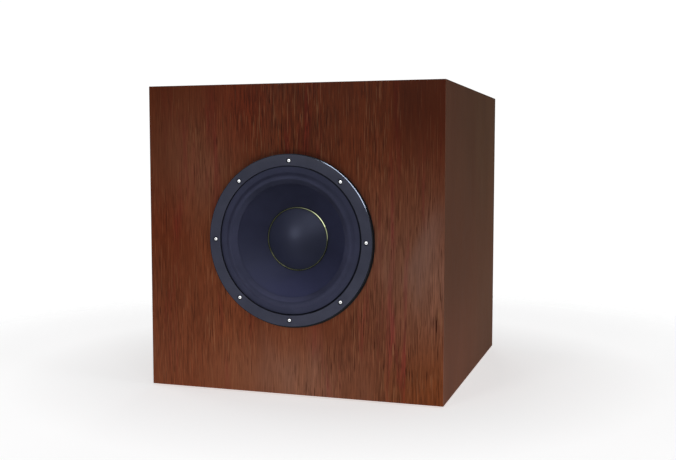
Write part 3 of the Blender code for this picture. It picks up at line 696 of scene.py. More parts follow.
# only the outer face of a board is veneered: its mitres, its inside and its holes show the board itself
for name, axis, sign in (("front_board", Y, -1), ("rear_board", Y, 1), ("left_board", X, -1), ("right_board", X, 1), ("top_board", Z, 1), ("bottom_board", Z, -1)):
    board = bpy.data.objects[name]
    board.data.materials.append(MDF)
    outer = max(sign * v.co[axis] for v in board.data.vertices)
    if axis == Y:
        board.data.materials.append(VENEER_RIGHT_PAINTED_LIGHT)
    for polygon in board.data.polygons:
        if sign * polygon.center[axis] < outer - 0.0012:
            polygon.material_index = 1
        # the side round-overs of the front and rear boards take the lightened side veneer, duller than the front's, to
        # mute the highlight along those edges: painted shade
        elif axis == Y and abs(polygon.center.x) > SIDE / 2 * MM - 0.00085:
            polygon.material_index = 2

# ------------------------------------------------------------------ driver
basket = raw("basket_frame", *lathe(rounded([
    (134.0, -7.3, 0.3), (135.0, -8.0, 0.3), (153.6, -8.0, 0.1), (155.0, -7.18, 0.15), (155.0, -2.0, 0.4), (135.5, -2.0), (135.5, 13.0, 3.0), (91.5, 66.0, 3.0), (88.5, 72.0, 3.0),
    (84.0, 94.7, 1.0), (44.0, 94.7, 0.8), (44.0, 90.0, 0.8), (79.0, 90.0, 3.0), (80.5, 71.5, 0.5), (76.0, 71.5, 0.5), (76.0, 68.0, 0.5),
    (86.5, 68.0), (87.0, 63.5, 3.0), (130.0, 11.5, 3.0), (130.0, 1.0), (121.0, 1.0, 0.5), (121.0, -2.9, 0.5), (134.0, -2.9),
], 5), 192))
tools = [bars("tool", SCREW_XZ, 2.4, -12, 22, 24), bars("tool", SCREW_XZ, 4.7, -12, -5, 40)]
slope = Vector((91.5 - 135.5, 66.0 - 13.0)).normalized()
verts, faces = [], []
for i in range(12):
    angle = math.radians(-90 + 30 * i)
    radial = Vector((math.cos(angle), 0, math.sin(angle)))
    down = (radial * slope.x + Vector((0, 1, 0)) * slope.y).normalized()
    side = Vector((-math.sin(angle), 0, math.cos(angle)))
    through = down.cross(side).normalized()
    middle = world(0, 38.0, AXIS_Z) + radial * 111.6 * MM
    outline = []
    for cx, cy, start in ((1, 1, 0), (-1, 1, 90), (-1, -1, 180), (1, -1, 270)):
        for k in range(5):
            t = math.radians(start + 22.5 * k)
            u = cx * (25.0 - 4.0) + 4.0 * math.cos(t)
            reach = 25.0 + (16.0 - 25.0) * (u + 25.0) / 50.0
            outline.append((u, cy * (reach - 4.0) + 4.0 * math.sin(t)))
    n, base = len(outline), len(verts)
    for depth in (-14.0, 14.0):
        verts += [middle + (down * u + side * v + through * depth) * MM for u, v in outline]
    faces += [list(range(base, base + n)), list(range(base + 2 * n - 1, base + n - 1, -1))]
    faces += [[base + k, base + (k + 1) % n, base + n + (k + 1) % n, base + n + k] for k in range(n)]
tools.append(raw("tool", verts, faces))
carve(basket, tools)
dress(basket, PAINT, "cabinet", "driver_basket", 28.0)
basket.data.materials.append(EDGE_METAL)
basket.data.materials.append(RIM_PAINTED_SHADE)
# the chamfer takes the machined edge; the flange's inner wall, deeper and wider on the right, and its outer side wall
# take the near-black, a painted shadow in the gap and under the flange
for polygon in basket.data.polygons:
    c = polygon.center
    if math.hypot(c.x, c.z - AXIS_Z * MM) < (0.1349 if c.x > 0.04 else 0.1343) and (-7.95 if c.x > 0.04 else -7.4) < (c.y - YF) / MM < -2.95:
        polygon.material_index = 2
    if math.hypot(c.x, c.z - AXIS_Z * MM) > 0.1535 and (c.y - YF) / MM < -1.9:
        polygon.material_index = 1 if (c.y - YF) / MM < -7.1 and (c.y - YF) / MM > -7.99 else 2 if (c.y - YF) / MM > -7.1 else 0

CONE_R, CONE_EDGE, CAP_R, CAP_A = 106.7, -2.6, 57.4, 38.6
FALL = (CAP_A - CONE_EDGE) / (CONE_R - CAP_R)


def cone_a(r):
    return CONE_EDGE + FALL * (CONE_R - r)


front_face = [(r, cone_a(r)) for r in np.linspace(CONE_R, 39.0, 26)]
lean = math.hypot(1.0, FALL)
back_face = [(r + 1.2 * FALL / lean, a + 1.2 / lean) for r, a in front_face]
turned("cone_body", front_face + back_face[::-1], 160, CONE, "cone_assembly", "cone", "cone")

dome_r, dome_rise, rim_a = 56.6, 21.0, 38.2
dome_bend = 35.0
dome_slope = dome_rise / (dome_bend * math.log(math.cosh(dome_r / dome_bend)))
dome = [(r, rim_a - dome_rise + dome_slope * dome_bend * math.log(math.cosh(r / dome_bend))) for r in np.linspace(0, dome_r, 30)]
inner = [(r, a + 1.0) for r, a in dome]
turned("dust_cap_dome", [(0.0 if r < 0.01 else r, a - 0.5) for r, a in dome] + [(0.0 if r < 0.01 else r, a - 0.5) for r, a in inner[::-1]], 128, CAP, "cone_assembly", "dust_cap", "dust_cap")
ring = turned("cap_line", rounded([(58.68, 35.95, 0.1), (58.68, 36.95, 0.15), (58.0, 37.5, 0.2), (56.5, 37.5, 0.3), (56.5, 35.6, 0.2), (56.8, 35.35, 0.1), (57.45, 35.35)], 3),
              192, LINE, "cone_assembly", "dust_cap_trim_ring", "trim_ring", sharp=12.0)
ring.data.materials.append(BRIGHT_LINE)
for v in ring.data.vertices:
    r = math.hypot(v.co.x, v.co.z - AXIS_Z * MM)
    if r > 0.0585 and (v.co.y - YF) / MM < 36.6:
        v.co.y += 0.00045 * (1 - (v.co.z - AXIS_Z * MM) / r) / 2
for polygon in ring.data.polygons:
    c = polygon.center
    if 0.0575 < math.hypot(c.x, c.z - AXIS_Z * MM) < 0.0588 and (c.y - YF) / MM < 36.5:
        polygon.material_index = 1

ROLL_OUT, ROLL_H, ROLL_A, ROLL_BEND = 123.3, 4.5, -3.8, 6.5
line = [(133.1, ROLL_A + 0.5), (133.0, ROLL_A + 0.1), (132.6, ROLL_A), (129.0, ROLL_A), (125.6, ROLL_A), (124.4, ROLL_A + 0.12)]
fall_angle = math.atan(FALL)
ROLL_TOP = (CONE_EDGE - 1.05 + FALL * CONE_R - ROLL_A + ROLL_H - ROLL_BEND + ROLL_BEND * math.cos(fall_angle) + FALL * ROLL_BEND * math.sin(fall_angle)) / FALL
for t in np.linspace(0.0, 1.0, 16):
    line.append((ROLL_OUT + (ROLL_TOP - ROLL_OUT) * t, ROLL_A - ROLL_H * (1 - math.cos(math.pi * t)) / 2))
for u in np.linspace(0.0, fall_angle, 8)[1:]:
    line.append((ROLL_TOP - ROLL_BEND * math.sin(u), ROLL_A - ROLL_H + ROLL_BEND * (1 - math.cos(u))))
line += [(r, cone_a(r) - 1.05) for r in (109.4, 108.4, 107.2)]
line += [(106.0, cone_a(106.0) - 1.05), (104.0, cone_a(104.0) - 1.2), (102.6, cone_a(102.6) - 1.0)]
surround = turned("surround_roll", skin(line, 1.1), 192, RUBBER, None, "surround", "surround_rubber")


def radial_blend(obj):
    """Bakes the piece's transform into its mesh."""
    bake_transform(obj)


radial_blend(surround)

for number, (x, z) in enumerate(SCREW_XZ, 1):
    head = raw(f"rim_screw_{number}", *lathe([(r, -8.3 + 8.5 - math.sqrt(8.5 ** 2 - r * r)) for r in (0.0, 0.7, 1.4, 1.9, 2.25)] + [(2.6, -7.8), (3.0, -7.3), (3.4, -6.7), (3.5, -6.3), (3.5, -5.35), (3.4, -5.3), (2.0, -5.3), (2.0, 17.0), (0.0, 20.0)], 40, (x, z)))
    outline = [(1.05 * math.cos(math.radians(60 * k + 11 * number)), 1.05 * math.sin(math.radians(60 * k + 11 * number))) for k in range(6)]
    key = [world(x + u, -9.5, z + v) for u, v in outline] + [world(x + u, -6.6, z + v) for u, v in outline]
    carve(head, [raw("tool", key, [list(range(6)), list(range(11, 5, -1))] + [[k, (k + 1) % 6, 6 + (k + 1) % 6, 6 + k] for k in range(6)])])
    dress(head, SCREW, "cabinet", f"driver_screw_{number}", 30.0)
    # the hex recess takes the darker metal, painted shade in the recess
    head.data.materials.append(SOCKET_PAINTED_SHADE)
    for polygon in head.data.polygons:
        c = polygon.center
        if math.hypot(c.x / MM - x, c.z / MM - z) < 1.03 and (c.y - YF) / MM < -5.0:
            polygon.material_index = 1

# ------------------------------------------------------------------ motor, coil and spider
def ripple(values, low, high, pitch, depth):
    """Points (radius, depth) along a wound or threaded surface, a small round crest for every pitch."""
    count = max(1, round((high - low) / pitch))
    out = []
    for i in range(count):
        for share, height in ((0.0, 0.0), (0.25, 0.7), (0.5, 1.0), (0.75, 0.7)):
            out.append((values + depth * height, low + (high - low) * (i + share) / count))
    return out + [(values, high)]


turned("top_plate_ring", rounded([(41.6, 95.0, 0.5), (80.0, 95.0, 1.0), (80.0, 107.0, 1.0), (41.6, 107.0, 0.5)], 3), 128, STEEL, "cabinet", "top_plate", "motor_steel")
turned("magnet_ring_front", rounded([(52.0, 107.3, 1.5), (90.0, 107.3, 2.0), (90.0, 125.3, 2.0), (52.0, 125.3, 1.5)], 3), 128, FERRITE, "cabinet", "magnet_front", "ferrite")
turned("magnet_ring_rear", rounded([(52.0, 125.6, 1.5), (90.0, 125.6, 2.0), (90.0, 143.6, 2.0), (52.0, 143.6, 1.5)], 3), 128, FERRITE, "cabinet", "magnet_rear", "ferrite")
turned("yoke", rounded([
    (14.0, 93.0, 1.5), (36.8, 93.0, 1.2), (36.8, 106.0, 0.3), (36.0, 108.0, 0.5), (36.0, 141.0, 2.5), (41.0, 143.9, 0.5), (87.0, 143.9, 1.0),
    (87.0, 154.0, 0.5), (85.0, 156.0, 0.5), (60.0, 156.0, 0.4), (59.0, 155.4, 0.3), (30.0, 155.4, 0.3), (29.0, 156.0, 0.4), (18.0, 156.0, 1.0), (14.0, 150.0, 1.0)], 3),
    128, STEEL, "cabinet", "pole_piece_yoke", "motor_steel")
turned("former_tube", rounded([(38.0, 50.0, 0.2), (38.6, 50.0, 0.2), (38.6, 118.0, 0.2), (38.0, 118.0, 0.2)], 2), 128, ALLOY, "cone_assembly", "voice_coil_former", "former")
turned("coil_winding", [(38.9, 88.0)] + ripple(40.25, 88.2, 113.8, 0.52, 0.32) + [(38.9, 114.0)], 96, COPPER, "cone_assembly", "voice_coil", "copper", sharp=60.0)

crests = [(39.4, 67.3), (43.6, 67.3)] + [(46.0 + 4.2 * i, 67.3 + (2.2 if i % 2 else -2.2)) for i in range(7)] + [(73.6, 67.3), (85.6, 67.3)]
line = []
for (r0, a0), (r1, a1) in zip(crests, crests[1:]):
    steps = 3 if abs(a1 - a0) < 0.01 else 8
    for k in range(steps):
        t = k / steps
        line.append((r0 + (r1 - r0) * t, a0 + (a1 - a0) * (0.5 - 0.5 * math.cos(math.pi * t))))
line.append(crests[-1])
spider = turned("spider_cloth", skin(line, 0.7), 144, CLOTH, None, "spider", "spider_cloth")
radial_blend(spider)

# the gasket's black lip sits 0.6 mm right of and 1.1 mm below the axis, so it shows past the flange mostly at the right
# and bottom: a painted shadow of the flange
gasket = raw("driver_gasket_foam", *lathe(rounded([(137.5, -1.7, 0.3), (156.2, -1.7, 0.4), (156.4, -0.3, 0.3), (137.5, -0.3, 0.3)], 3), 128, (0.6, AXIS_Z - 1.1)))
carve(gasket, [bars("tool", SCREW_XZ, 2.4, -12, 22, 24)])
dress(gasket, FOAM, "cabinet", "driver_gasket")


def plate(name, outline, a0, a1, x, z, soften, mat, body, stands_for, cuts=()):
    """A flat piece of any outline across X and Z, its edges softened."""
    n = len(outline)
    verts = [world(x + u, a0, z + v) for u, v in outline] + [world(x + u, a1, z + v) for u, v in outline]
    faces = [list(range(n)), list(range(2 * n - 1, n - 1, -1))]
    faces += [[k, (k + 1) % n, n + (k + 1) % n, n + k] for k in range(n)]
    obj = raw(name, verts, faces)
    if cuts:
        carve(obj, cuts)
    if soften:
        mod = obj.modifiers.new("soft_edges", "BEVEL")
        mod.width, mod.segments, mod.limit_method, mod.angle_limit = soften * MM, 2, "ANGLE", math.radians(50)
        bake_modifiers(obj)
    return dress(obj, mat, body, stands_for)


plate("terminal_strip", rect(36.0, 10.5, 1.2, 4), 84.0, 88.0, 0.0, AXIS_Z - 91.75, 0.4, BOARD, "cabinet", "driver_terminal_block")
for side, sx in (("pos", 1), ("neg", -1)):
    blade = [(-3.15, 5.35), (-3.15, -3.9), (-2.1, -5.35), (2.1, -5.35), (3.15, -3.9), (3.15, 5.35)]
    plate(f"blade_{side}", blade, 85.6, 86.4, sx * 10, AXIS_Z - 102.65, 0.12, ZINC, "cabinet", f"driver_tab_{side}",
          [bars("tool", [(sx * 10, AXIS_Z - 104.2)], 0.85, 80, 92, 20)])


# ------------------------------------------------------------------ wires
def smooth_path(points, step):
    """Evenly spaced points on a Catmull-Rom curve through points."""
    pts = [Vector(p) for p in points]
    pts = [pts[0] * 2 - pts[1]] + pts + [pts[-1] * 2 - pts[-2]]
    dense = []
    for i in range(1, len(pts) - 2):
        p0, p1, p2, p3 = pts[i - 1:i + 3]
        for k in range(24):
            t = k / 24
            dense.append(0.5 * (2 * p1 + (p2 - p0) * t + (2 * p0 - 5 * p1 + 4 * p2 - p3) * t * t + (3 * p1 - p0 - 3 * p2 + p3) * t ** 3))
    dense.append(pts[-2])
    lengths = [0.0]
    for p, q in zip(dense, dense[1:]):
        lengths.append(lengths[-1] + (q - p).length)
    count = max(3, round(lengths[-1] / step))
    out, k = [], 0
    for i in range(count + 1):
        want = lengths[-1] * i / count
        while k < len(lengths) - 2 and lengths[k + 1] < want:
            k += 1
        span = lengths[k + 1] - lengths[k]
        out.append(dense[k].lerp(dense[k + 1], min(1.0, max(0.0, (want - lengths[k]) / span)) if span else 0.0))
    return out, lengths[-1]


def tube(path, radius, sides, lobes=0, depth=0.0, pitch=0.006):
    """A tube along path. radius may follow the distance; lobes twist round it as the strands of a lead."""
    verts, faces, run = [], [], 0.0
    normal = None
    for i, p in enumerate(path):
        tangent = (path[min(i + 1, len(path) - 1)] - path[max(i - 1, 0)]).normalized()
        if i:
            run += (p - path[i - 1]).length
        normal = tangent.orthogonal().normalized() if normal is None else (normal - tangent * normal.dot(tangent)).normalized()
        other = tangent.cross(normal)
        r0 = radius(run) if callable(radius) else radius
        for k in range(sides):
            t = 2 * math.pi * k / sides
            r = r0 * (1 - depth * (0.5 - 0.5 * math.cos(lobes * t - 2 * math.pi * run / pitch)))
            verts.append(p + (normal * math.cos(t) + other * math.sin(t)) * r * MM)
    for i in range(len(path) - 1):
        for k in range(sides):
            m = (k + 1) % sides
            faces.append([i * sides + k, i * sides + m, (i + 1) * sides + m, (i + 1) * sides + k])
    faces += [list(range(sides)), [(len(path) - 1) * sides + k for k in range(sides - 1, -1, -1)]]
    return verts, faces


for side, sx in (("pos", 1), ("neg", -1)):
    route = [(92.0, 83.4), (95.5, 76.0), (101.5, 65.0), (102.5, 55.0), (96.0, 48.0), (85.0, 46.5), (75.0, 46.5), (67.0, 43.0), (62.5, 37.6)]
    path, total = smooth_path([world(sx * (12.0 - 0.2 * k), a, AXIS_Z - r) for k, (r, a) in enumerate(route)], 0.0009)
    lead = piece(f"braided_lead_{side}", *tube(path, 0.8, 15, 5, 0.28, 0.0060), COPPER, None, f"tinsel_lead_{side}", "copper", 50.0)
    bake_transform(lead)
    share = []
    for i in range(len(path)):
        t = max(0.0, min(1.0, (i / (len(path) - 1) - 0.28) / 0.66))
        share += [t * t * (3 - 2 * t)] * 15

for side, sx, mat in (("pos", 1, RED), ("neg", -1, BLACK)):
    lift = 4.0 * sx
    route = [
        (sx * 10, 86.0, AXIS_Z - 108.4), (sx * 10, 87.0, AXIS_Z - 121.0), (14 + 6 * sx, 112.0, AXIS_Z - 148.0),
        (50 + 8 * sx, 170.0, AXIS_Z - 170.0 + lift), (78 + 8 * sx, 230.0, AXIS_Z - 160.0 + lift), (88 + 8 * sx, 271.0, AXIS_Z - 150.0 + lift),
        (86 + 8 * sx, 330.0, AXIS_Z - 160.0 + lift), (62 + 8 * sx, 400.0, AXIS_Z - 170.0 + lift), (26 + 8 * sx, 458.0, CUP_Z - 10.0 + lift),
        (sx * 9.5, 492.0, CUP_Z - 1.0), (sx * 9.5, 511.6, CUP_Z)]
    path, total = smooth_path([world(*p) for p in route], 0.0025)

    def girth(run, total=total):
        end = min(run, total - run) / MM
        return 1.8 if end > 13.0 else 2.25 if 1.2 < end < 12.0 else 2.0

    piece(f"speaker_lead_{side}", *tube(path, girth, 20), mat, "cabinet", f"speaker_wire_{side}", f"{'red' if sx > 0 else 'black'}_plastic", 40.0)

# ------------------------------------------------------------------ inside the box
inner = SIDE / 2 - WALL - 0.3
plate("brace_frame", rect(2 * inner, 2 * inner, 0.4, 1), 262.0, 280.0, 0.0, AXIS_Z, 0.8, PLY, "cabinet", "window_brace",
      [slab("tool", 168, 168, 22, 250, 292, AXIS_Z + sz * 112, sx * 112.0) for sx in (-1, 1) for sz in (-1, 1)])


def pad(name, stands_for, flat_axis, flat_sign, seed):
    """A loose polyester pad: flat on the wall it is stuck to, crowned and lumpy on the other side, its sides pulled in between the corners."""
    lo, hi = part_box(stands_for)
    centre, half = (lo + hi) / 2, (hi - lo) / 2
    counts = [max(6, round(2 * h / 0.0075)) for h in half]
    bm = bmesh.new()
    made = {}

    def vert(i, j, k):
        if (i, j, k) not in made:
            made[(i, j, k)] = bm.verts.new((2 * i / counts[0] - 1, 2 * j / counts[1] - 1, 2 * k / counts[2] - 1))
        return made[(i, j, k)]

    for axis in range(3):
        u, v = [i for i in range(3) if i != axis]
        for side in (0, counts[axis]):
            for i in range(counts[u]):
                for j in range(counts[v]):
                    corners = []
                    for du, dv in ((0, 0), (1, 0), (1, 1), (0, 1)):
                        place = [0, 0, 0]
                        place[axis], place[u], place[v] = side, i + du, j + dv
                        corners.append(vert(*place))
                    bm.faces.new(corners if side else corners[::-1])
    bmesh.ops.recalc_face_normals(bm, faces=bm.faces)
    radius = 0.017
    across = [i for i in range(3) if i != flat_axis]
    for v in bm.verts:
        n = v.co.copy()
        p = Vector([n[i] * half[i] for i in range(3)])
        core = Vector([max(-(half[i] - radius), min(half[i] - radius, p[i])) for i in range(3)])
        out = p - core
        if out.length > 1e-9:
            p = core + out.normalized() * radius
        for i, other in ((across[0], across[1]), (across[1], across[0])):
            p[i] *= 1.0 - 0.035 * (1 - n[other] ** 2) * abs(n[i]) ** 2
        away = -flat_sign * n[flat_axis]
        edge = max(abs(n[across[0]]), abs(n[across[1]]))
        if away > -0.5:
            crown = 1.0 - 0.30 * edge ** 3
            place = centre + p
            lump = 0.0030 * noise.noise((place + Vector((seed, 0, 0))) * 22.0) + 0.0012 * noise.noise((place + Vector((0, seed, 0))) * 70.0) - 0.0042
            depth = (-flat_sign * p[flat_axis] + half[flat_axis]) * crown + lump * (away + 0.5) / 1.5
            p[flat_axis] = -flat_sign * (max(0.0004, depth) - half[flat_axis])
        v.co = centre + p
    mesh = bpy.data.meshes.new(name)
    bm.to_mesh(mesh)
    bm.free()
    obj = bpy.data.objects.new(name, mesh)
    bpy.context.scene.collection.objects.link(obj)
    dress(obj, FLEECE, "cabinet", stands_for, 80.0)
    return obj


pad("fleece_rear", "wadding_rear", Y, 1, 3.1)
pad("fleece_left", "wadding_left", X, -1, 7.7)
pad("fleece_right", "wadding_right", X, 1, 11.9)

# ------------------------------------------------------------------ feet
for where in ("front_left", "front_right", "rear_left", "rear_right"):
    lo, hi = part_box(f"foot_{where}")
    cx, cy = (lo.x + hi.x) / 2, (lo.y + hi.y) / 2
    section = rounded([(0.0, 0.7), (8.0, 0.7, 0.4), (9.0, 0.0, 0.4), (18.9, 0.0, 0.8), (20.0, 3.0, 0.3), (0.0, 3.0)], 4)
    verts, faces = lathe(section, 72, (0.0, 0.0))
    turn = [Vector((v.x + cx, cy + v.z, v.y - YF)) for v in verts]
    piece(f"pad_foot_{where}", turn, faces, FOOT, "cabinet", f"foot_{where}", "foot_rubber")

# ------------------------------------------------------------------ rear terminals
FLOOR = REAR - 28.4


def loft(name, rings, z, segments=8):
    """Rounded rectangles (width, height, radius, a), each joined to the next, closed at both ends."""
    verts, faces = [], []
    n = 4 * (segments + 1)
    for width, height, radius, a in rings:
        verts += [world(u, a, z + v) for u, v in rect(width, height, max(0.3, radius), segments)]
    for i in range(len(rings) - 1):
        for k in range(n):
            faces.append([i * n + k, i * n + (k + 1) % n, (i + 1) * n + (k + 1) % n, (i + 1) * n + k])
    faces += [list(range(n)), [(len(rings) - 1) * n + k for k in range(n - 1, -1, -1)]]
    return raw(name, verts, faces)


def quarter(width, height, radius, a, r, start, end, steps=4):
    """Rings round a fillet: its centre line is inset r from the rectangle, at depth a."""
    out = []
    for k in range(steps + 1):
        t = math.radians(start + (end - start) * k / steps)
        grow = 2 * r * math.cos(t)
        out.append((width + grow, height + grow, radius + grow / 2, a + r * math.sin(t)))
    return out


rings = quarter(94.0, 64.0, 3.0, FLOOR + 3.0, 3.0, -90, 0)                                       # recess floor into its wall
rings += quarter(102.4, 72.4, 5.2, REAR + 3.4, 1.2, 180, 90)                                     # lip
rings += quarter(127.0, 97.0, 6.5, REAR + 3.1, 1.5, 90, 0)                                       # flange's outer edge
rings += [(130.0, 100.0, 8.0, REAR + 1.8), (129.6, 99.6, 7.8, REAR + 1.6), (106.0, 76.0, 6.0, REAR + 1.6)]
rings += quarter(102.0, 72.0, 4.0, REAR - 29.4, 2.0, 0, -90)                                     # back of the body
cup = loft("terminal_dish", rings, CUP_Z)
marks = [slab("tool", 5.4, 1.3, 0.3, FLOOR - 0.6, FLOOR + 0.5, CUP_Z + 17.0, 9.5, 2), slab("tool", 1.3, 5.4, 0.3, FLOOR - 0.7, FLOOR + 0.5, CUP_Z + 17.0, 9.5, 2),
         slab("tool", 5.4, 1.3, 0.3, FLOOR - 0.6, FLOOR + 0.5, CUP_Z + 17.0, -9.5, 2)]
carve(cup, marks, "UNION")
carve(cup, [bars("tool", [(-9.5, CUP_Z), (9.5, CUP_Z)], 3.6, REAR - 40, REAR - 20, 32), bars("tool", CUP_SCREW_XZ, 2.0, REAR - 18, REAR + 12, 24)])
dress(cup, ABS, "cabinet", "terminal_cup", 32.0)

seal = slab("terminal_seal", 126, 96, 7, REAR + 0.3, REAR + 1.3, CUP_Z)
carve(seal, [slab("tool", 108, 78, 7, REAR - 5, REAR + 8, CUP_Z), bars("tool", CUP_SCREW_XZ, 2.0, REAR - 18, REAR + 12, 24)])
dress(seal, FOAM, "cabinet", "terminal_cup_gasket")

for number, (x, z) in enumerate(CUP_SCREW_XZ, 1):
    head = [(0.0, REAR + 7.1), (1.0, REAR + 7.06), (1.8, REAR + 6.92), (2.5, REAR + 6.6), (3.0, REAR + 6.1), (3.2, REAR + 5.5), (3.2, REAR + 5.0), (3.1, REAR + 4.9), (1.6, REAR + 4.9)]
    for i in range(11):
        head += [(1.6, REAR + 3.2 - 1.4 * i), (1.2, REAR + 2.5 - 1.4 * i)]
    screw = raw(f"cup_screw_{number}", *lathe(head + [(0.9, REAR - 13.5), (0.0, REAR - 15.5)], 36, (x, z)))
    tools = []
    for k in range(2):
        t = math.radians(20 * number + 90 * k)
        u, v = Vector((math.cos(t), 0, math.sin(t))), Vector((-math.sin(t), 0, math.cos(t)))
        verts = [world(x, a, z) + (u * c * 1.75 * taper + v * d * 0.42) * MM for a, taper in ((REAR + 8.0, 1.1), (REAR + 5.4, 0.45)) for c, d in ((-1, -1), (1, -1), (1, 1), (-1, 1))]
        tools.append(raw("tool", verts, [[0, 1, 2, 3], [7, 6, 5, 4]] + [[i, (i + 1) % 4, 4 + (i + 1) % 4, 4 + i] for i in range(4)]))
    carve(screw, tools)
    dress(screw, BLACK_SCREW, "cabinet", f"terminal_cup_screw_{number}", 35.0)


def threaded(verts, centre, radius, low, high, pitch, depth):
    """Cuts a helical thread into the vertices that lie on a cylinder."""
    cx, cz = centre
    for v in verts:
        x, a, z = v.x / MM - cx, (v.y - YF) / MM, v.z / MM - cz
        r = math.hypot(x, z)
        if abs(r - radius) < 0.02 and low < a < high:
            phase = (a / pitch - math.atan2(z, x) / (2 * math.pi)) % 1.0
            cut = depth * (1 - abs(2 * phase - 1))
            v.x, v.z = (cx + x * (r - cut) / r) * MM, (cz + z * (r - cut) / r) * MM
    return verts


for side, sx, mat, slot in (("pos", 1, RED, "red_plastic"), ("neg", -1, BLACK, "black_plastic")):
    centre = (sx * 9.5, CUP_Z)
    shank = [(3.2, a) for a in np.arange(FLOOR + 21.6, FLOOR + 5.1, -0.1)]
    tail = [(3.2, a) for a in np.arange(FLOOR - 3.4, REAR - 47.4, -0.1)]
    section = [(0.0, FLOOR + 6.0), (1.6, FLOOR + 6.0), (2.05, FLOOR + 6.5), (2.05, FLOOR + 21.9), (2.35, FLOOR + 22.4), (2.9, FLOOR + 22.4), (3.2, FLOOR + 22.0)] + shank
    section += [(3.2, FLOOR + 4.9), (5.6, FLOOR + 4.9), (5.85, FLOOR + 4.82), (6.0, FLOOR + 4.55), (6.0, FLOOR + 0.65), (5.85, FLOOR + 0.38), (5.6, FLOOR + 0.3), (3.2, FLOOR + 0.3)]
    section += tail + [(3.2, REAR - 47.5), (2.8, REAR - 48.0), (0.0, REAR - 48.0)]
    verts, faces = lathe(section, 48, centre)
    threaded(verts, centre, 3.2, FLOOR + 5.2, FLOOR + 21.7, 0.8, 0.36)
    threaded(verts, centre, 3.2, REAR - 47.4, FLOOR - 3.3, 0.8, 0.36)
    piece(f"post_{side}", verts, faces, BRASS, "cabinet", f"binding_post_{side}", "post_brass", 40.0)

    turned(f"post_washer_{side}", rounded([(3.6, FLOOR + 5.2, 0.15), (6.0, FLOOR + 5.2, 0.3), (6.0, FLOOR + 6.4, 0.3), (3.6, FLOOR + 6.4, 0.15)], 3), 64, BRASS,
           f"washer_{side}", f"binding_post_washer_{side}", "post_brass", centre)

    section = [(3.6, 6.9), (3.8, 6.7), (6.0, 6.7), (6.25, 6.8), (6.4, 7.1), (6.45, 8.0), (6.45, 8.6)]
    grip = [(6.8, a) for a in (9.0, 9.3, 12.0, 15.0, 18.0, 21.0, 23.3, 23.6)]
    section += grip + [(6.55, 24.2), (6.5, 24.9), (6.3, 25.4), (5.9, 25.7), (5.0, 25.7), (4.7, 25.4), (4.0, 25.4), (3.75, 25.2), (3.6, 24.9)]
    sides = 216
    verts, faces = lathe([(r, FLOOR + a) for r, a in section], sides, centre)
    for i, (r, a) in enumerate(section):
        if r == 6.8:
            fade = 0.35 if a in (9.0, 23.6) else 1.0
            for k in range(sides):
                v = verts[i * sides + k]
                notch = (0.5 - 0.5 * math.cos(18 * 2 * math.pi * k / sides)) ** 2
                scale = 1 - 0.075 * notch * fade - (0.02 if a in (9.0, 23.6) else 0.0)
                v.x, v.z = (centre[0] + (v.x / MM - centre[0]) * scale) * MM, (centre[1] + (v.z / MM - centre[1]) * scale) * MM
    piece(f"post_cap_{side}", verts, faces, mat, f"cap_{side}", f"binding_post_cap_{side}", slot, 32.0)

    verts, faces, sides = [], [], 72
    rows = [(0, 5.15), (0.35, 5.45), (0.8, 9.0), (3.2, 9.0), (3.65, 5.45), (4.0, 5.15)]
    for lift, limit in rows:
        for k in range(sides):
            t = 2 * math.pi * k / sides
            flat = 5.0 / math.cos((t % (math.pi / 3)) - math.pi / 6)
            r = min(flat, limit)
            verts.append(world(centre[0] + r * math.cos(t), FLOOR - 7.3 + lift, centre[1] + r * math.sin(t)))
    for lift in (4.0, 0.0):
        for k in range(sides):
            t = 2 * math.pi * k / sides
            verts.append(world(centre[0] + 3.5 * math.cos(t), FLOOR - 7.3 + lift, centre[1] + 3.5 * math.sin(t)))
    loops = len(rows) + 2
    for i in range(loops):
        j = (i + 1) % loops
        faces += [[i * sides + k, i * sides + (k + 1) % sides, j * sides + (k + 1) % sides, j * sides + k] for k in range(sides)]
    piece(f"hex_nut_{side}", verts, faces, ZINC, "cabinet", f"binding_post_nut_{side}", "bright_screw", 25.0)

# ------------------------------------------------------------------ floor, light and camera
FLOOR_FADE = (0.72, 1.35)
floor_mat, tree, bsdf = shader("pale_floor", 0.7, 0.0, 0.1)
bsdf.inputs["Base Color"].default_value = (0.86, 0.86, 0.87, 1.0)
bsdf.inputs["Emission Color"].default_value = (1.0, 1.0, 1.0, 1.0)
coords = tree.nodes.new("ShaderNodeTexCoord")
length = tree.nodes.new("ShaderNodeVectorMath")
length.operation = "LENGTH"
tree.links.new(coords.outputs["Object"], length.inputs[0])
fade = tree.nodes.new("ShaderNodeMapRange")
fade.interpolation_type = "SMOOTHSTEP"
fade.inputs["From Min"].default_value, fade.inputs["From Max"].default_value = FLOOR_FADE
tree.links.new(length.outputs["Value"], fade.inputs["Value"])
glow = tree.nodes.new("ShaderNodeMapRange")
glow.inputs["From Min"].default_value, glow.inputs["From Max"].default_value = 0.34, 0.66
glow.inputs["To Min"].default_value, glow.inputs["To Max"].default_value = 0.602, 0.775
tree.links.new(length.outputs["Value"], glow.inputs["Value"])
tree.links.new(glow.outputs["Result"], bsdf.inputs["Emission Strength"])
clear = tree.nodes.new("ShaderNodeBsdfTransparent")
mix = tree.nodes.new("ShaderNodeMixShader")
tree.links.new(fade.outputs["Result"], mix.inputs[0])
tree.links.new(bsdf.outputs[0], mix.inputs[1])
tree.links.new(clear.outputs[0], mix.inputs[2])
tree.links.new(mix.outputs[0], next(n for n in tree.nodes if n.type == "OUTPUT_MATERIAL").inputs["Surface"])
bpy.ops.mesh.primitive_circle_add(vertices=64, radius=2.4, fill_type="NGON", location=(0, 0, 0))
floor = bpy.context.object
floor.name = "floor"
floor.data.materials.append(floor_mat)
floor.visible_glossy = False

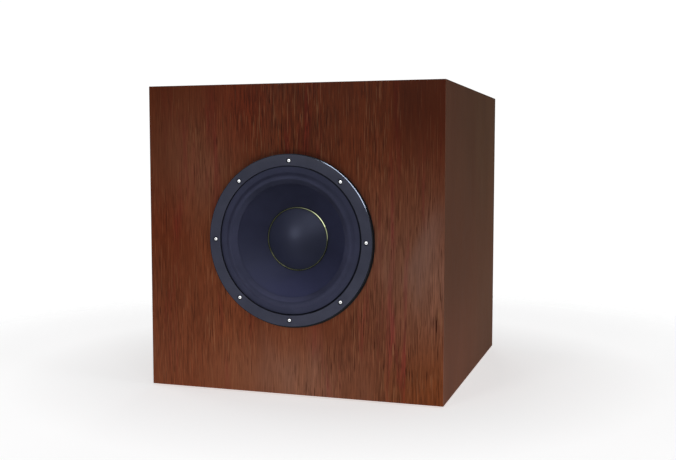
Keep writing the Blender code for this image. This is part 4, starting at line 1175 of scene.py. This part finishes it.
world_data = bpy.data.worlds.new("studio")
bpy.context.scene.world = world_data
world_data.use_nodes = True
tree = world_data.node_tree
tree.nodes.clear()
out = tree.nodes.new("ShaderNodeOutputWorld")
seen = tree.nodes.new("ShaderNodeBackground")
seen.inputs["Color"].default_value = (1, 1, 1, 1)
seen.inputs["Strength"].default_value = 1.05
felt = tree.nodes.new("ShaderNodeBackground")
felt.inputs["Color"].default_value = (0.95, 0.97, 1.0, 1)
felt.inputs["Strength"].default_value = 0.045
path = tree.nodes.new("ShaderNodeLightPath")
mix = tree.nodes.new("ShaderNodeMixShader")
bright = tree.nodes.new("ShaderNodeMath")
bright.operation = "MAXIMUM"
tree.links.new(path.outputs["Is Camera Ray"], bright.inputs[0])
tree.links.new(path.outputs["Is Singular Ray"], bright.inputs[1])
tree.links.new(bright.outputs[0], mix.inputs[0])
tree.links.new(felt.outputs[0], mix.inputs[1])
tree.links.new(seen.outputs[0], mix.inputs[2])
tree.links.new(mix.outputs[0], out.inputs["Surface"])


def lamp(name, place, target, size, energy, colour=(1, 1, 1), size_y=None):
    data = bpy.data.lights.new(name, "AREA")
    data.shape = "RECTANGLE"
    data.size, data.size_y = size, size_y or size
    data.energy = energy
    data.color = colour
    obj = bpy.data.objects.new(name, data)
    bpy.context.scene.collection.objects.link(obj)
    obj.location = place
    obj.rotation_euler = (Vector(target) - Vector(place)).to_track_quat("-Z", "Y").to_euler()
    return obj


lamp("left_high", (-2.1, 0.3, 2.0), (-0.5, -0.2, 0.0), 1.0, 5.0)
lamp("right_high", (2.2, -0.6, 2.0), (0.6, -0.2, 0.0), 1.0, 6.6)
lamp("front_softbox", (-0.80, -2.9, 1.25), (0.0, -0.28, 0.28), 0.6, 7.6)
lamp("rear_fill", (-0.6, 2.7, 1.6), (0.0, 0.28, 0.25), 0.9, 5.0)
strip = lamp("edge_strip", (0.90, -1.73, 1.70), (0.0, -0.28, 0.28), 1.8, 3.7, size_y=0.30)
along = Vector((1.336, -0.275, -1.18)).normalized()
back = (strip.location - Vector((0.0, -0.28, 0.28))).normalized()
across = back.cross(along).normalized()
strip.rotation_euler = Matrix((across.cross(back), across, back)).transposed().to_euler()

camera_data = bpy.data.cameras.new("camera")
camera_data.lens = 50.0
camera_data.sensor_width = 36.0
camera_data.clip_start, camera_data.clip_end = 0.05, 50.0
camera = bpy.data.objects.new("camera", camera_data)
bpy.context.scene.collection.objects.link(camera)
EDGE = SIDE * MM
camera.location = (1.0598 * EDGE, YF - 2.8 * EDGE, BOTTOM * MM + 0.7629 * EDGE)
camera.rotation_euler = (math.pi / 2 - 0.0764, 0.0, 0.3111)
bpy.context.scene.camera = camera
bpy.context.scene.view_settings.view_transform = "Standard"
